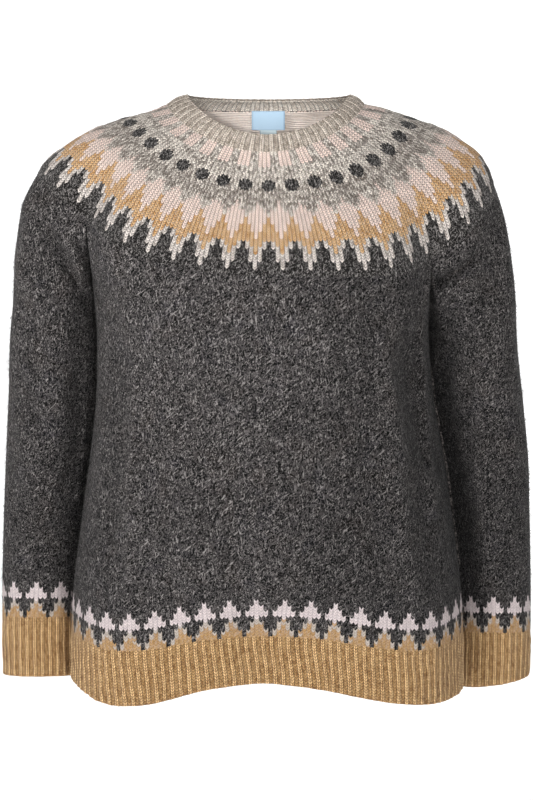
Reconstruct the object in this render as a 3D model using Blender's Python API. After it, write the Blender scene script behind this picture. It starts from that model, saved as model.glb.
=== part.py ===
"""A knitted pullover with a round patterned yoke, filled out as if worn and hollow inside.

Metres, +Z up, the front faces -Y. The origin is where the shoulders carry it, at the base of the neck.
The wearer's left is +X. Depths below the origin are given as positive numbers named down.
"""

import math

import bpy
import numpy as np

# Cloth
WALL = 0.0025
RIB_RISE = 0.0012
SEAM = 0.0003
UNDERARM_GAP = 0.0006

# Counts of ribs, and of the facets between the corners where yoke, body and sleeve meet
NECK_RIBS, HEM_RIBS, CUFF_RIBS = 56, 120, 34
FRONT_FACETS, SIDE_FACETS, UNDERARM_FACETS = 30, 16, 10
YOKE_ROWS, BODY_ROWS, SLEEVE_ROWS, RIB_ROWS = 9, 11, 13, 3
POINTS_A_RIB = 3

# Where the sleeves leave the body: the crease's angle from the front centre, its size and the armpit
CREASE_RIGHT, CREASE_LEFT = math.radians(54), math.radians(47)
CREASE_DEPTH, CREASE_SPREAD, CREASE_START = 0.020, math.radians(9), 0.45
ARMPIT_RIGHT, ARMPIT_LEFT = 0.162, 0.186
SLEEVE_CLEARANCE = 0.004
TUCK = 0.9
SETTLE = 0.12
ARM_MIDDLE_DOWN = 0.2

# How evenly the wales spread round the yoke: 1 is even along the cloth, 0 is even by angle
EVEN_WALES = 0.75
ROUND_STEPS = 721

# How a yoke round falls from its sides to the front and back: a shelf over the shoulder, then steeper
SHELF_START, SHELF_END_RIGHT, SHELF_END_LEFT = 0.10, 1.30, 0.95
STEEP, STEEPER_RIGHT, STEEPER_BY = 1.5, 0.4, 0.3

# The shares of a fold's length over which it grows and dies away
FADE_IN, FADE_OUT = 0.35, 0.25

# How high the ribs stand in each row of a band, as shares of their rise, from the top row down
NECK_RISE, BAND_RISE = (0.7, 1.0, 0.5), (0.5, 1.0, 0.8)

# The woven label inside the neck and the tab under it
LABEL_SIZE, TAB_SIZE = (0.0375, 0.022), (0.019, 0.009)
LABEL_THICK, LABEL_TILT = 0.0007, math.radians(24)
LABEL_ACROSS, LABEL_AHEAD, LABEL_BELOW = 0.002, 0.0019, 0.0012
LABEL_COLUMNS, LABEL_BOW = 7, 0.0015


def table(names, *rows):
    """A short table as one array for each named column."""
    return dict(zip(names.split(), np.array(rows, float).T))


# The yoke's rounds from the neck seam down: half widths and depths, and the height at each side
YOKE = table(
    "along right  left   front  back   z_right  z_left   z_front  z_back",
    (0.00, 0.111, 0.109, 0.085, 0.062, 0.0060, 0.0065, -0.056, 0.006),
    (0.15, 0.134, 0.136, 0.095, 0.077, -0.0015, 0.0005, -0.075, -0.006),
    (0.30, 0.157, 0.161, 0.103, 0.090, -0.0090, -0.0080, -0.0935, -0.021),
    (0.45, 0.180, 0.187, 0.110, 0.100, -0.0165, -0.0180, -0.112, -0.041),
    (0.60, 0.203, 0.211, 0.116, 0.106, -0.0255, -0.0295, -0.131, -0.064),
    (0.80, 0.229, 0.239, 0.124, 0.111, -0.0440, -0.0535, -0.157, -0.098),
    (1.00, 0.2515, 0.254, 0.130, 0.114, -0.0670, -0.0865, -0.184, -0.135),
    (1.06, 0.2560, 0.257, 0.131, 0.1145, -0.0750, -0.0960, -0.192, -0.143),
)

# The neck rib from its seam up to its edge
NECK = table(
    "along right  left   front  back   z_right  z_left   z_front  z_back",
    (0.0, 0.111, 0.109, 0.085, 0.062, 0.0060, 0.0065, -0.056, 0.006),
    (0.5, 0.101, 0.102, 0.080, 0.053, 0.0130, 0.0135, -0.046, 0.013),
    (1.0, 0.0885, 0.093, 0.073, 0.042, 0.0170, 0.0170, -0.036, 0.017),
)

# The torso's sections
TORSO = table(
    "down  middle  half   front  back   square",
    (0.100, -0.006, 0.185, 0.122, 0.108, 2.4),
    (0.180, -0.006, 0.185, 0.131, 0.112, 2.4),
    (0.256, -0.004, 0.184, 0.136, 0.112, 2.4),
    (0.323, -0.0015, 0.1875, 0.134, 0.110, 2.4),
    (0.390, 0.001, 0.197, 0.132, 0.110, 2.4),
    (0.456, 0.001, 0.206, 0.131, 0.113, 2.4),
    (0.545, 0.001, 0.216, 0.129, 0.118, 2.4),
    (0.650, 0.001, 0.217, 0.126, 0.120, 2.4),
)

# The sleeves' sections: how far out they reach on each side, and their own depths round a middle line
SLEEVE = table(
    "down  right   left    middle  front  back   square",
    (0.067, 0.2515, 0.2460, 0.000, 0.062, 0.058, 2.2),
    (0.100, 0.2715, 0.2600, 0.000, 0.064, 0.060, 2.2),
    (0.150, 0.2800, 0.2710, 0.002, 0.065, 0.061, 2.2),
    (0.211, 0.2827, 0.2770, 0.006, 0.065, 0.061, 2.2),
    (0.256, 0.2850, 0.2790, 0.010, 0.064, 0.060, 2.2),
    (0.323, 0.2885, 0.2865, 0.017, 0.061, 0.057, 2.2),
    (0.390, 0.2925, 0.2930, 0.025, 0.058, 0.054, 2.2),
    (0.456, 0.2955, 0.2960, 0.032, 0.054, 0.050, 2.2),
    (0.545, 0.2980, 0.2980, 0.038, 0.048, 0.045, 2.2),
    (0.640, 0.2970, 0.2965, 0.042, 0.044, 0.043, 2.2),
)

# The hem by its angle from the front centre: where the rib starts and where its edge is
HEM = table(
    "angle  rib    edge",
    (-180, 0.582, 0.642),
    (-125, 0.590, 0.650),
    (-90, 0.571, 0.628),
    (-76, 0.578, 0.634),
    (-60, 0.590, 0.650),
    (-27, 0.578, 0.630),
    (0, 0.575, 0.625),
    (27, 0.578, 0.631),
    (62, 0.590, 0.650),
    (77, 0.580, 0.647),
    (90, 0.573, 0.636),
    (125, 0.590, 0.650),
    (180, 0.582, 0.642),
)

# The largest folds, each a ridge or trough with its ends, its angle at both and its height
BODY_FOLDS = table(
    "top    bottom  angle_top  angle_bottom  spread  height",
    (0.240, 0.760, -60, -62, 13, 0.009),
    (0.200, 0.760, 47, 62, 12, 0.009),
    (0.220, 0.420, 60, 66, 8, -0.007),
    (0.500, 0.760, 0, 0, 30, -0.021),
    (0.260, 0.480, 22, 14, 11, -0.003),
    (0.300, 0.760, 128, 124, 14, 0.009),
    (0.280, 0.760, -131, -126, 14, 0.009),
    (0.300, 0.760, 180, 180, 24, -0.010),
    (0.210, 0.400, 150, 160, 11, 0.004),
)
SLEEVE_FOLDS = table(
    "side  top    bottom  angle_top  angle_bottom  spread  height",
    (-1, 0.105, 0.250, -68, 62, 24, -0.007),
    (-1, 0.150, 0.300, -60, 70, 22, 0.005),
    (-1, 0.330, 0.480, 150, 40, 26, -0.004),
    (1, 0.150, 0.270, 62, -60, 24, -0.008),
    (1, 0.340, 0.470, -150, -40, 26, -0.004),
    (-1, 0.150, 0.290, -120, 140, 24, -0.006),
    (1, 0.140, 0.280, 120, -140, 24, -0.006),
)

# Cuffs by side: where the rib starts, and its edge towards the body and away from it
CUFF = {-1: (0.565, 0.630, 0.630), 1: (0.582, 0.643, 0.631)}

COLOURS = {
    "charcoal": (0.060, 0.054, 0.053),
    "mustard": (0.520, 0.330, 0.140),
    "oatmeal": (0.400, 0.350, 0.290),
    "heather": (0.450, 0.400, 0.340),
    "label": (0.350, 0.520, 0.640),
    "tab": (0.550, 0.620, 0.640),
}


def smooth(at, stations, values):
    """The value at some place on a soft curve through a table's values."""
    slopes = np.gradient(values, stations)
    i = np.clip(np.searchsorted(stations, at) - 1, 0, len(stations) - 2)
    span = stations[i + 1] - stations[i]
    t = np.clip((at - stations[i]) / span, 0, 1)
    ends = values[i] * (1 + 2 * t) * (1 - t) ** 2 + values[i + 1] * t**2 * (3 - 2 * t)
    return ends + span * t * (1 - t) * (slopes[i] * (1 - t) - slopes[i + 1] * t)


def ease(t):
    """0 to 1 with soft ends."""
    t = np.clip(t, 0, 1)
    return t * t * (3 - 2 * t)


def unit(vectors):
    return vectors / np.linalg.norm(vectors, axis=-1, keepdims=True)


def crease(along, angle):
    """How deep the cloth is drawn in at the four corners where the sleeves leave the body."""
    grown = ease((along - CREASE_START) / (1 - CREASE_START))
    depth = np.zeros_like(angle)
    for corner in (CREASE_LEFT, math.pi - CREASE_LEFT, math.pi + CREASE_RIGHT, 2 * math.pi - CREASE_RIGHT):
        depth += np.exp(-(((angle - corner) / CREASE_SPREAD) ** 2))
    return CREASE_DEPTH * grown * depth


def round_points(rounds, along, angle):
    """Points of one round of the yoke or the neck, at angles from the front centre towards +X."""
    size = {name: smooth(along, rounds["along"], rounds[name]) for name in rounds}
    across, ahead = np.sin(angle), np.cos(angle)
    width = np.where(across > 0, size["left"], size["right"])
    depth = np.where(ahead > 0, size["front"], size["back"])
    side = np.where(across > 0, size["z_left"], size["z_right"])
    middle = np.where(ahead > 0, size["z_front"], size["z_back"])
    hang = along if rounds is YOKE else 0.0
    steep = STEEP + np.where(across > 0, 0.0, STEEPER_RIGHT * ease(hang / STEEPER_BY))
    reach = np.abs(ahead)
    shelf_span = np.where(across > 0, SHELF_END_LEFT, SHELF_END_RIGHT) - SHELF_START
    shelf = ease((reach - SHELF_START) / shelf_span) / ease((1 - SHELF_START) / shelf_span)
    fall = (1 - hang) * reach**steep + hang * shelf
    inward = crease(hang, angle)
    outline = np.stack([width * across, -depth * ahead], axis=-1)
    facing = unit(np.stack([depth * across, -width * ahead], axis=-1))
    outline = outline - facing * inward[:, None]
    return np.column_stack([outline, side + (middle - side) * fall])


def wales_of(points, angles):
    """The share of all wales that lies before each of a round's points, with the back centre at one half."""
    steps = np.linalg.norm(np.diff(points, axis=0), axis=1)
    length = np.concatenate([[0], np.cumsum(steps)])
    half = len(points) // 2
    first = 0.5 * length / length[half]
    second = 0.5 + 0.5 * (length - length[half]) / (length[-1] - length[half])
    even = np.where(np.arange(len(points)) <= half, first, second)
    return EVEN_WALES * even + (1 - EVEN_WALES) * angles / (2 * math.pi)


def round_at(rounds, along, wales):
    """Points of a round at given shares of its wales."""
    angles = np.linspace(0, 2 * math.pi, ROUND_STEPS)
    shares = wales_of(round_points(rounds, along, angles), angles)
    return round_points(rounds, along, np.interp(np.mod(wales, 1), shares, angles))


def corner_wales():
    """The shares of the wales at the four corners: right front, left front, left back, right back."""
    angles = np.linspace(0, 2 * math.pi, ROUND_STEPS)
    last = YOKE["along"][-1]
    shares = wales_of(round_points(YOKE, last, angles), angles)
    corners = (-CREASE_RIGHT, CREASE_LEFT, math.pi - CREASE_LEFT, math.pi + CREASE_RIGHT)
    found = [np.interp(corner % (2 * math.pi), angles, shares) for corner in corners]
    found[0] -= 1
    return found


def yoke_columns():
    """Where the yoke's columns lie, so that body and sleeves can share them."""
    right_front, left_front, left_back, right_back = corner_wales()
    arcs = (
        (right_front, left_front, FRONT_FACETS),
        (left_front, left_back, SIDE_FACETS),
        (left_back, right_back, FRONT_FACETS),
        (right_back, right_front + 1, SIDE_FACETS),
    )
    return np.concatenate([np.linspace(a, b, n, endpoint=False) for a, b, n in arcs])


def polar(angle, half, front, back, square):
    """Distance from the middle to a rounded section's edge, at an angle from straight ahead."""
    across, ahead = np.abs(np.sin(angle)), np.abs(np.cos(angle))
    depth = np.where(np.cos(angle) > 0, front, back)
    return ((across / half) ** square + (ahead / depth) ** square) ** (-1 / square)


def turned(angle, centre):
    """The shortest turn from a centre to an angle, both in degrees."""
    return (angle - centre + 180) % 360 - 180


def fold_height(folds, angle, down, chosen=slice(None)):
    """How far the folds push the cloth out at some angle and depth."""
    degrees = np.degrees(angle)
    height = np.zeros_like(down)
    rows = zip(*(folds[name][chosen] for name in "top bottom angle_top angle_bottom spread height".split()))
    for top, bottom, angle_top, angle_bottom, spread, rise in rows:
        t = (down - top) / (bottom - top)
        centre = angle_top + turned(angle_bottom, angle_top) * np.clip(t, 0, 1)
        window = ease(t / FADE_IN) * ease((1 - t) / FADE_OUT)
        height = height + rise * window * np.exp(-((turned(degrees, centre) / spread) ** 2))
    return height


def torso_outline(angle, down):
    """A point of the torso's outer face at an angle about its middle."""
    size = {name: smooth(down, TORSO["down"], TORSO[name]) for name in TORSO}
    reach = polar(angle, size["half"], size["front"], size["back"], size["square"])
    reach = reach + fold_height(BODY_FOLDS, angle, down)
    return np.stack([size["middle"] + reach * np.sin(angle), -reach * np.cos(angle)], axis=-1)


def torso_side(side, down, behind=0.0):
    """How far the torso reaches to one side, at a distance behind its widest line."""
    size = {name: smooth(down, TORSO["down"], TORSO[name]) for name in TORSO}
    share = (1 - (behind / size["back"]) ** size["square"]) ** (1 / size["square"])
    return side * size["middle"] + size["half"] * share


def sleeve_middle(side, down):
    """The sleeve's middle line and half width, between the body's side and its own outer edge."""
    outer = smooth(down, SLEEVE["down"], SLEEVE["left" if side > 0 else "right"])
    middle = smooth(down, SLEEVE["down"], SLEEVE["middle"])
    inner = torso_side(side, down, TUCK * np.maximum(middle, 0)) + SLEEVE_CLEARANCE
    return side * (outer + inner) / 2, middle, (outer - inner) / 2


def sleeve_outline(side):
    """The outline function of one sleeve."""
    chosen = SLEEVE_FOLDS["side"] == side

    def outline(angle, down):
        x, y, half = sleeve_middle(side, down)
        size = {name: smooth(down, SLEEVE["down"], SLEEVE[name]) for name in ("front", "back", "square")}
        reach = polar(angle, half, size["front"], size["back"], size["square"])
        away = 0.5 + 0.5 * side * np.sin(angle)
        reach = reach + fold_height(SLEEVE_FOLDS, angle, down, chosen) * away
        return np.stack([x + reach * np.sin(angle), y - reach * np.cos(angle)], axis=-1)

    return outline


def hung(loop, middle, outline, bottom, rows):
    """Rows of a tube that hangs from a loop of points and settles into its own sections."""
    angle = np.arctan2(loop[:, 0] - middle[0], middle[1] - loop[:, 1])
    top, low = -loop[:, 2], bottom(angle)
    shortest = (low - top).min()
    left_to_go = np.linspace(1, 0, rows).reshape(-1, 1)
    height = shortest * left_to_go + (low - top - shortest) * left_to_go**3
    down = low - height
    angles = np.broadcast_to(angle, down.shape)
    offset = loop[:, :2] - outline(angle, top)
    kept = 1 - ease((down - top) / SETTLE)
    flat = outline(angles, down) + offset * kept[..., None]
    return np.concatenate([flat, -down[..., None]], axis=-1)


def underarm(front_corner, back_corner, side, armpit):
    """The line under the arm from the front corner to the back one."""
    t = np.linspace(0, 1, UNDERARM_FACETS + 1).reshape(-1, 1)
    line = front_corner + (back_corner - front_corner) * t
    bow = np.sin(math.pi * t[:, 0])
    middle = (front_corner + back_corner) / 2
    line[:, 0] += (side * torso_side(side, armpit) - middle[0]) * bow
    line[:, 2] += (-armpit - middle[2]) * bow
    return line[1:-1]


def normals(grid, closed):
    """Outward directions of a grid whose rows run down and whose columns run anticlockwise from above."""
    down = np.gradient(grid, axis=0)
    around = np.roll(grid, -1, 1) - np.roll(grid, 1, 1) if closed else np.gradient(grid, axis=1)
    return unit(np.cross(down, around))


def drawn_back(grid, top=0.0, bottom=0.0, start=0.0, end=0.0):
    """The grid with its edges moved in along its own lines."""
    grid = grid.copy()
    grid[0] += top * unit(grid[1] - grid[0])
    grid[-1] += bottom * unit(grid[-2] - grid[-1])
    grid[:, 0] += start * unit(grid[:, 1] - grid[:, 0])
    grid[:, -1] += end * unit(grid[:, -2] - grid[:, -1])
    return grid


def zipped(first, second):
    """Triangles between two lines of points that run side by side, whatever their counts."""
    faces = []
    i = j = 0
    while i < len(first) - 1 or j < len(second) - 1:
        next_first = (i + 1) / (len(first) - 1)
        next_second = (j + 1) / (len(second) - 1)
        if next_first <= next_second:
            faces.append((first[i], first[i + 1], second[j]))
            i += 1
        else:
            faces.append((first[i], second[j + 1], second[j]))
            j += 1
    return faces


def flipped(faces):
    return [face[::-1] for face in faces]


def sheet_faces(index):
    """Quads of a grid of point numbers, facing outward."""
    corners = (index[:-1, :-1], index[1:, :-1], index[1:, 1:], index[:-1, 1:])
    return [tuple(int(k) for k in quad) for quad in np.stack(corners, -1).reshape(-1, 4)]


def wall(name, outer, inner, closed, colour, roughness=0.95):
    """A closed solid between an outer and an inner grid, which may have unlike counts."""
    first = np.arange(outer.shape[0] * outer.shape[1]).reshape(outer.shape[:2])
    second = first.size + np.arange(inner.shape[0] * inner.shape[1]).reshape(inner.shape[:2])
    if closed:
        first, second = (np.column_stack([grid, grid[:, 0]]) for grid in (first, second))
    faces = sheet_faces(first) + flipped(sheet_faces(second))
    first, second = first.tolist(), second.tolist()
    faces += zipped(first[0], second[0]) + flipped(zipped(first[-1], second[-1]))
    if not closed:
        sides = [([row[k] for row in first], [row[k] for row in second]) for k in (0, -1)]
        faces += flipped(zipped(*sides[0])) + zipped(*sides[1])
    mesh = bpy.data.meshes.new(name)
    points = np.concatenate([outer.reshape(-1, 3), inner.reshape(-1, 3)])
    mesh.from_pydata(points.tolist(), [], faces)
    mesh.validate()
    mesh.shade_smooth()
    mesh.materials.append(material(name, COLOURS[colour], roughness))
    made = bpy.data.objects.new(name, mesh)
    collection.objects.link(made)
    return made


def material(name, colour, roughness):
    """A plain finish of one colour."""
    made = bpy.data.materials.new(name)
    made.use_nodes = True
    shader = made.node_tree.nodes["Principled BSDF"]
    shader.inputs["Base Color"].default_value = (*colour, 1)
    shader.inputs["Roughness"].default_value = roughness
    shader.inputs["Metallic"].default_value = 0
    made.diffuse_color = (*colour, 1)
    return made


def ribbed(grid, facing, ribs, closed, rise):
    """The outer face of a ribbed band: the grid with its ribs raised by each row's share of the rise."""
    columns = grid.shape[1] if closed else grid.shape[1] - 1
    count = POINTS_A_RIB * ribs
    at = np.arange(count if closed else count + 1) * columns / count
    left = np.minimum(at.astype(int), columns - 1)
    share = (at - left).reshape(-1, 1)
    right = (left + 1) % grid.shape[1]
    points = grid[:, left] * (1 - share) + grid[:, right] * share
    ways = unit(facing[:, left] * (1 - share) + facing[:, right] * share)
    high = (np.arange(len(at)) % POINTS_A_RIB > 0).reshape(-1, 1)
    return points + RIB_RISE * ways * high * np.reshape(rise, (-1, 1, 1))


def build_yoke():
    """The yoke, which hands on its grid and its outward directions."""
    wales = yoke_columns()
    rows = np.linspace(0, YOKE["along"][-1], YOKE_ROWS)
    grid = np.stack([round_at(YOKE, along, wales) for along in rows])
    facing = normals(grid, True)
    outer = drawn_back(grid, top=SEAM / 2, bottom=SEAM / 2)
    inner = (outer - WALL * facing)[::2]
    wall("yoke", outer, inner, True, "heather")
    return grid, facing


def build_neck(yoke_facing):
    """The neck rib, from its edge down to the yoke's first round. It hands on its inner face."""
    wales = yoke_columns()
    rows = NECK["along"][::-1]
    grid = np.stack([round_at(NECK, along, wales) for along in rows])
    grid[-1] = round_at(YOKE, 0.0, wales)
    facing = normals(grid, True)
    facing[-1] = yoke_facing[0]
    base = drawn_back(grid, bottom=SEAM / 2)
    inner = base - WALL * facing
    wall("neck_rib", ribbed(base, facing, NECK_RIBS, True, NECK_RISE), inner, True, "oatmeal")
    return inner


def body_loop(yoke, arms):
    """The body's top edge: front of the yoke, under the left arm, back of the yoke, under the right arm."""
    last = yoke[-1].copy()
    left_front, left_back = FRONT_FACETS, FRONT_FACETS + SIDE_FACETS
    right_back = left_back + FRONT_FACETS
    inward = np.array([UNDERARM_GAP / 2, 0, 0])
    left, right = arms[1] - inward, arms[-1][::-1] + inward
    last[[0, right_back]] += inward
    last[[left_front, left_back]] -= inward
    return np.concatenate([last[: left_front + 1], left, last[left_back : right_back + 1], right])


def sleeve_loop(yoke, arms, side):
    """A sleeve's top edge: over the shoulder on the yoke, then back under the arm."""
    last = np.concatenate([yoke[-1], yoke[-1][:1]])
    if side > 0:
        over = last[FRONT_FACETS : FRONT_FACETS + SIDE_FACETS + 1]
        under = arms[1][::-1]
    else:
        over = last[2 * FRONT_FACETS + SIDE_FACETS :]
        under = arms[-1]
    outward = np.array([side * UNDERARM_GAP / 2, 0, 0])
    over[[0, -1]] += outward
    return np.concatenate([over, under + outward])


def seam_facing(facing, joined):
    """A tube's outward directions, with those of the yoke's edge from each column where the two are sewn."""
    shared = facing.copy()
    for first, directions in joined:
        shared[0, first : first + len(directions)] = directions
    return shared


def hem_line(name):
    """The hem's depth by angle."""
    return lambda angle: smooth(np.degrees(angle), HEM["angle"], HEM[name])


def build_body(yoke, yoke_facing, arms):
    """Front, back and their hem ribs."""
    loop = body_loop(yoke, arms)
    middle = (TORSO["middle"][1], 0.0)
    grid = hung(loop, middle, torso_outline, hem_line("rib"), BODY_ROWS)
    facing = normals(grid, True)
    back_first = FRONT_FACETS + UNDERARM_FACETS
    front_edge = yoke_facing[-1][: FRONT_FACETS + 1]
    yoke_back = FRONT_FACETS + SIDE_FACETS
    back_edge = yoke_facing[-1][yoke_back : yoke_back + FRONT_FACETS + 1]
    facing = seam_facing(facing, ((0, front_edge), (back_first, back_edge)))
    angle = np.arctan2(grid[-1, :, 0] - middle[0], middle[1] - grid[-1, :, 1])
    fall = np.linspace(0, 1, RIB_ROWS).reshape(-1, 1)
    down = hem_line("rib")(angle) * (1 - fall) + hem_line("edge")(angle) * fall
    flat = torso_outline(np.broadcast_to(angle, down.shape), down)
    hem = np.concatenate([flat, -down[..., None]], axis=-1)
    hem[0] = grid[-1]
    hem_facing = normals(hem, True)
    hem_facing[0] = facing[-1]

    split_left = FRONT_FACETS + UNDERARM_FACETS // 2
    count = len(loop)
    split_right = count - UNDERARM_FACETS // 2
    halves = {
        "front": [k % count for k in range(split_right, count + split_left + 1)],
        "back": list(range(split_left, split_right + 1)),
    }
    gap = SEAM / 2
    for name, columns in halves.items():
        outer = drawn_back(grid[:, columns], top=gap, bottom=gap, start=gap, end=gap)
        inner = (outer - WALL * facing[:, columns])[::2]
        wall(f"{name}_body", outer, inner, False, "charcoal")
        base = drawn_back(hem[:, columns], top=gap, start=gap, end=gap)
        ways = hem_facing[:, columns]
        outer = ribbed(base, ways, HEM_RIBS // 2, False, BAND_RISE)
        wall(f"hem_rib_{name}", outer, (base - WALL * ways)[:: RIB_ROWS - 1], False, "mustard")


def build_sleeve(yoke, yoke_facing, arms, side):
    """One sleeve and its cuff."""
    name = "left" if side > 0 else "right"
    loop = sleeve_loop(yoke, arms, side)
    outline = sleeve_outline(side)
    x, y, _ = sleeve_middle(side, ARM_MIDDLE_DOWN)
    rib, inner_edge, outer_edge = CUFF[side]
    grid = hung(loop, (x, y), outline, lambda angle: np.full_like(angle, rib), SLEEVE_ROWS)
    facing = normals(grid, True)
    first = FRONT_FACETS if side > 0 else 2 * FRONT_FACETS + SIDE_FACETS
    round_trip = np.concatenate([yoke_facing[-1], yoke_facing[-1][:1]])
    facing = seam_facing(facing, ((0, round_trip[first : first + SIDE_FACETS + 1]),))
    outer = drawn_back(grid, top=SEAM / 2, bottom=SEAM / 2)
    wall(f"sleeve_{name}", outer, (outer - WALL * facing)[::2], True, "charcoal")

    low_x, low_y, _ = sleeve_middle(side, rib)
    angle = np.arctan2(grid[-1, :, 0] - low_x, low_y - grid[-1, :, 1])
    outward = (0.5 + 0.5 * side * np.sin(angle)) ** 2
    edge = inner_edge + (outer_edge - inner_edge) * outward
    fall = np.linspace(0, 1, RIB_ROWS).reshape(-1, 1)
    down = rib * (1 - fall) + edge * fall
    flat = outline(np.broadcast_to(angle, down.shape), down)
    cuff = np.concatenate([flat, -down[..., None]], axis=-1)
    cuff[0] = grid[-1]
    ways = normals(cuff, True)
    ways[0] = facing[-1]
    base = drawn_back(cuff, top=SEAM / 2)
    outer = ribbed(base, ways, CUFF_RIBS, True, BAND_RISE)
    wall(f"cuff_{name}", outer, (base - WALL * ways)[:: RIB_ROWS - 1], True, "mustard")


def build_label(neck_inside):
    """The woven label and the small tab under it, which hang from the neck seam at the back."""
    back = neck_inside[-1][np.argmax(neck_inside[-1][:, 1])]
    lean = np.array([0.0, math.sin(LABEL_TILT), -math.cos(LABEL_TILT)])
    facing = np.array([0.0, -math.cos(LABEL_TILT), -math.sin(LABEL_TILT)])
    top = np.array([LABEL_ACROSS, back[1] - LABEL_AHEAD, back[2] - LABEL_BELOW])
    pieces = {"label": (LABEL_SIZE, 0.0, "label"), "size_tab": (TAB_SIZE, LABEL_SIZE[1] + SEAM, "tab")}
    for name, ((width, height), start, colour) in pieces.items():
        across = np.linspace(-0.5, 0.5, LABEL_COLUMNS) * width
        bow = LABEL_BOW * np.cos(np.linspace(-0.5, 0.5, LABEL_COLUMNS) * math.pi)
        line = top + np.outer(across, (1, 0, 0)) - np.outer(bow, facing)
        face = np.stack([line + lean * (start + height * t) for t in (0.0, 0.5, 1.0)])
        wall(name, face + LABEL_THICK * facing, face, False, colour, 0.6)


for old in list(bpy.data.objects):
    bpy.data.objects.remove(old)
collection = bpy.data.collections.new("pullover")
bpy.context.scene.collection.children.link(collection)

yoke_grid, yoke_ways = build_yoke()
neck_inner = build_neck(yoke_ways)
edge_ring = yoke_grid[-1]
arm_lines = {
    1: underarm(edge_ring[FRONT_FACETS], edge_ring[FRONT_FACETS + SIDE_FACETS], 1, ARMPIT_LEFT),
    -1: underarm(edge_ring[0], edge_ring[2 * FRONT_FACETS + SIDE_FACETS], -1, ARMPIT_RIGHT),
}
build_body(yoke_grid, yoke_ways, arm_lines)
for wearer_side in (-1, 1):
    build_sleeve(yoke_grid, yoke_ways, arm_lines, wearer_side)
build_label(neck_inner)
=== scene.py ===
"""The looks of the knitted pullover: shells with folds, ribs, colourwork and brushed yarn, and the studio.

The form repeats the part's own functions at a finer step, and its tables with it. Only the right sleeve's
upper edge and the hem's corners follow the photo more closely than the part's, by up to 3.5 mm. Metres,
+Z up, the front faces -Y, and the wearer's left is +X. Depths below the origin are positive numbers named
down. Every mesh carries the map "knit", wales across and courses down, from which its chart and stitches
are worked out, and the attribute "dent", how far a drawn crease raises the cloth there.
"""

import math

import bpy
import numpy as np
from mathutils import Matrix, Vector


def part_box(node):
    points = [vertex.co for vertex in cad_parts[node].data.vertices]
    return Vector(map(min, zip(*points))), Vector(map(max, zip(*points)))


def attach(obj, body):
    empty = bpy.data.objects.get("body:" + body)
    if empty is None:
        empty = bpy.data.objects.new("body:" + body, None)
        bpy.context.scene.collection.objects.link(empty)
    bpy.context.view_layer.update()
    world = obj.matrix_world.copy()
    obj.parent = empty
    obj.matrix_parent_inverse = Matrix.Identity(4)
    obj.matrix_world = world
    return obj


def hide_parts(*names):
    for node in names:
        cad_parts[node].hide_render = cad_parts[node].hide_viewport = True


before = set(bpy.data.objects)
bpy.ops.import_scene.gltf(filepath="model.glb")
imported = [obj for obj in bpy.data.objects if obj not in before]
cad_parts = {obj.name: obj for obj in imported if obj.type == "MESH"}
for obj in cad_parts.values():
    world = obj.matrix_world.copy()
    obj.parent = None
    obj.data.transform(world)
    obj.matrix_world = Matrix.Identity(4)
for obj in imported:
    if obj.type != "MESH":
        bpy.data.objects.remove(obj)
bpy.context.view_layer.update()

# Cloth
WALL = 0.0022
RIB_RISE = 0.0011
SETTLE = 0.12
COURSE = 0.00295

# Facets between the corners where yoke, body and sleeve meet, and rows of each shell
FINE = 4
FRONT_FACETS, SIDE_FACETS, UNDERARM_FACETS = 30 * FINE, 16 * FINE, 10 * FINE
YOKE_ROWS, BODY_ROWS, SLEEVE_ROWS, BAND_ROWS = 64, 96, 120, 16
POINTS_A_RIB = 8

# Stitches round each part, and where the trees' middles fall
YOKE_COURSES, NECK_COURSES = 49, 9
BODY_WALES, SLEEVE_WALES, NECK_WALES = 252, 66, 112
BLOCK_WALES, DIAMOND_WALES, DROP_WALES = 32 * 5, 36 * 6, 46 * 6
TREE_SHIFT = 1.0
CUFF_TREE_SHIFT = {-1: 2.0, 1: 1.0}

# Where the sleeves leave the body: the crease's angle from the front centre, its size and the armpit
CREASE_RIGHT, CREASE_LEFT = math.radians(54), math.radians(47)
CREASE_DEPTH, CREASE_SPREAD, CREASE_START = 0.020, math.radians(9), 0.45
ARMPIT = {-1: 0.162, 1: 0.186}
SLEEVE_CLEARANCE, TUCK = 0.0001, 0.9
ARM_MIDDLE_DOWN = 0.2
PINNED_ROWS = 8
EVEN_WALES, ROUND_STEPS = 0.75, 721
SHELF_START, SHELF_END_RIGHT, SHELF_END_LEFT = 0.10, 1.30, 0.95
STEEP, STEEPER_RIGHT, STEEPER_BY = 1.5, 0.4, 0.3
FADE_IN, FADE_OUT = 0.35, 0.25

# The four corners' angles: left front, left back, right back and right front
CORNERS = (CREASE_LEFT, math.pi - CREASE_LEFT, math.pi + CREASE_RIGHT, 2 * math.pi - CREASE_RIGHT)


def table(names, *rows):
    """A short table as one array for each named column."""
    return dict(zip(names.split(), np.array(rows, float).T))


# The yoke's rounds from the neck seam down: half widths and depths, and the height at each side
YOKE = table(
    "along right  left   front  back   z_right  z_left   z_front  z_back",
    (0.00, 0.111, 0.109, 0.085, 0.062, 0.0060, 0.0065, -0.056, 0.006),
    (0.15, 0.134, 0.136, 0.095, 0.077, -0.0015, 0.0005, -0.075, -0.006),
    (0.30, 0.157, 0.161, 0.103, 0.090, -0.0090, -0.0080, -0.0935, -0.021),
    (0.45, 0.180, 0.187, 0.110, 0.100, -0.0165, -0.0180, -0.112, -0.041),
    (0.60, 0.203, 0.211, 0.116, 0.106, -0.0255, -0.0295, -0.131, -0.064),
    (0.80, 0.229, 0.239, 0.124, 0.111, -0.0440, -0.0535, -0.157, -0.098),
    (1.00, 0.2515, 0.254, 0.130, 0.114, -0.0670, -0.0865, -0.184, -0.135),
    (1.06, 0.2560, 0.257, 0.131, 0.1145, -0.0750, -0.0960, -0.192, -0.143),
)

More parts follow.
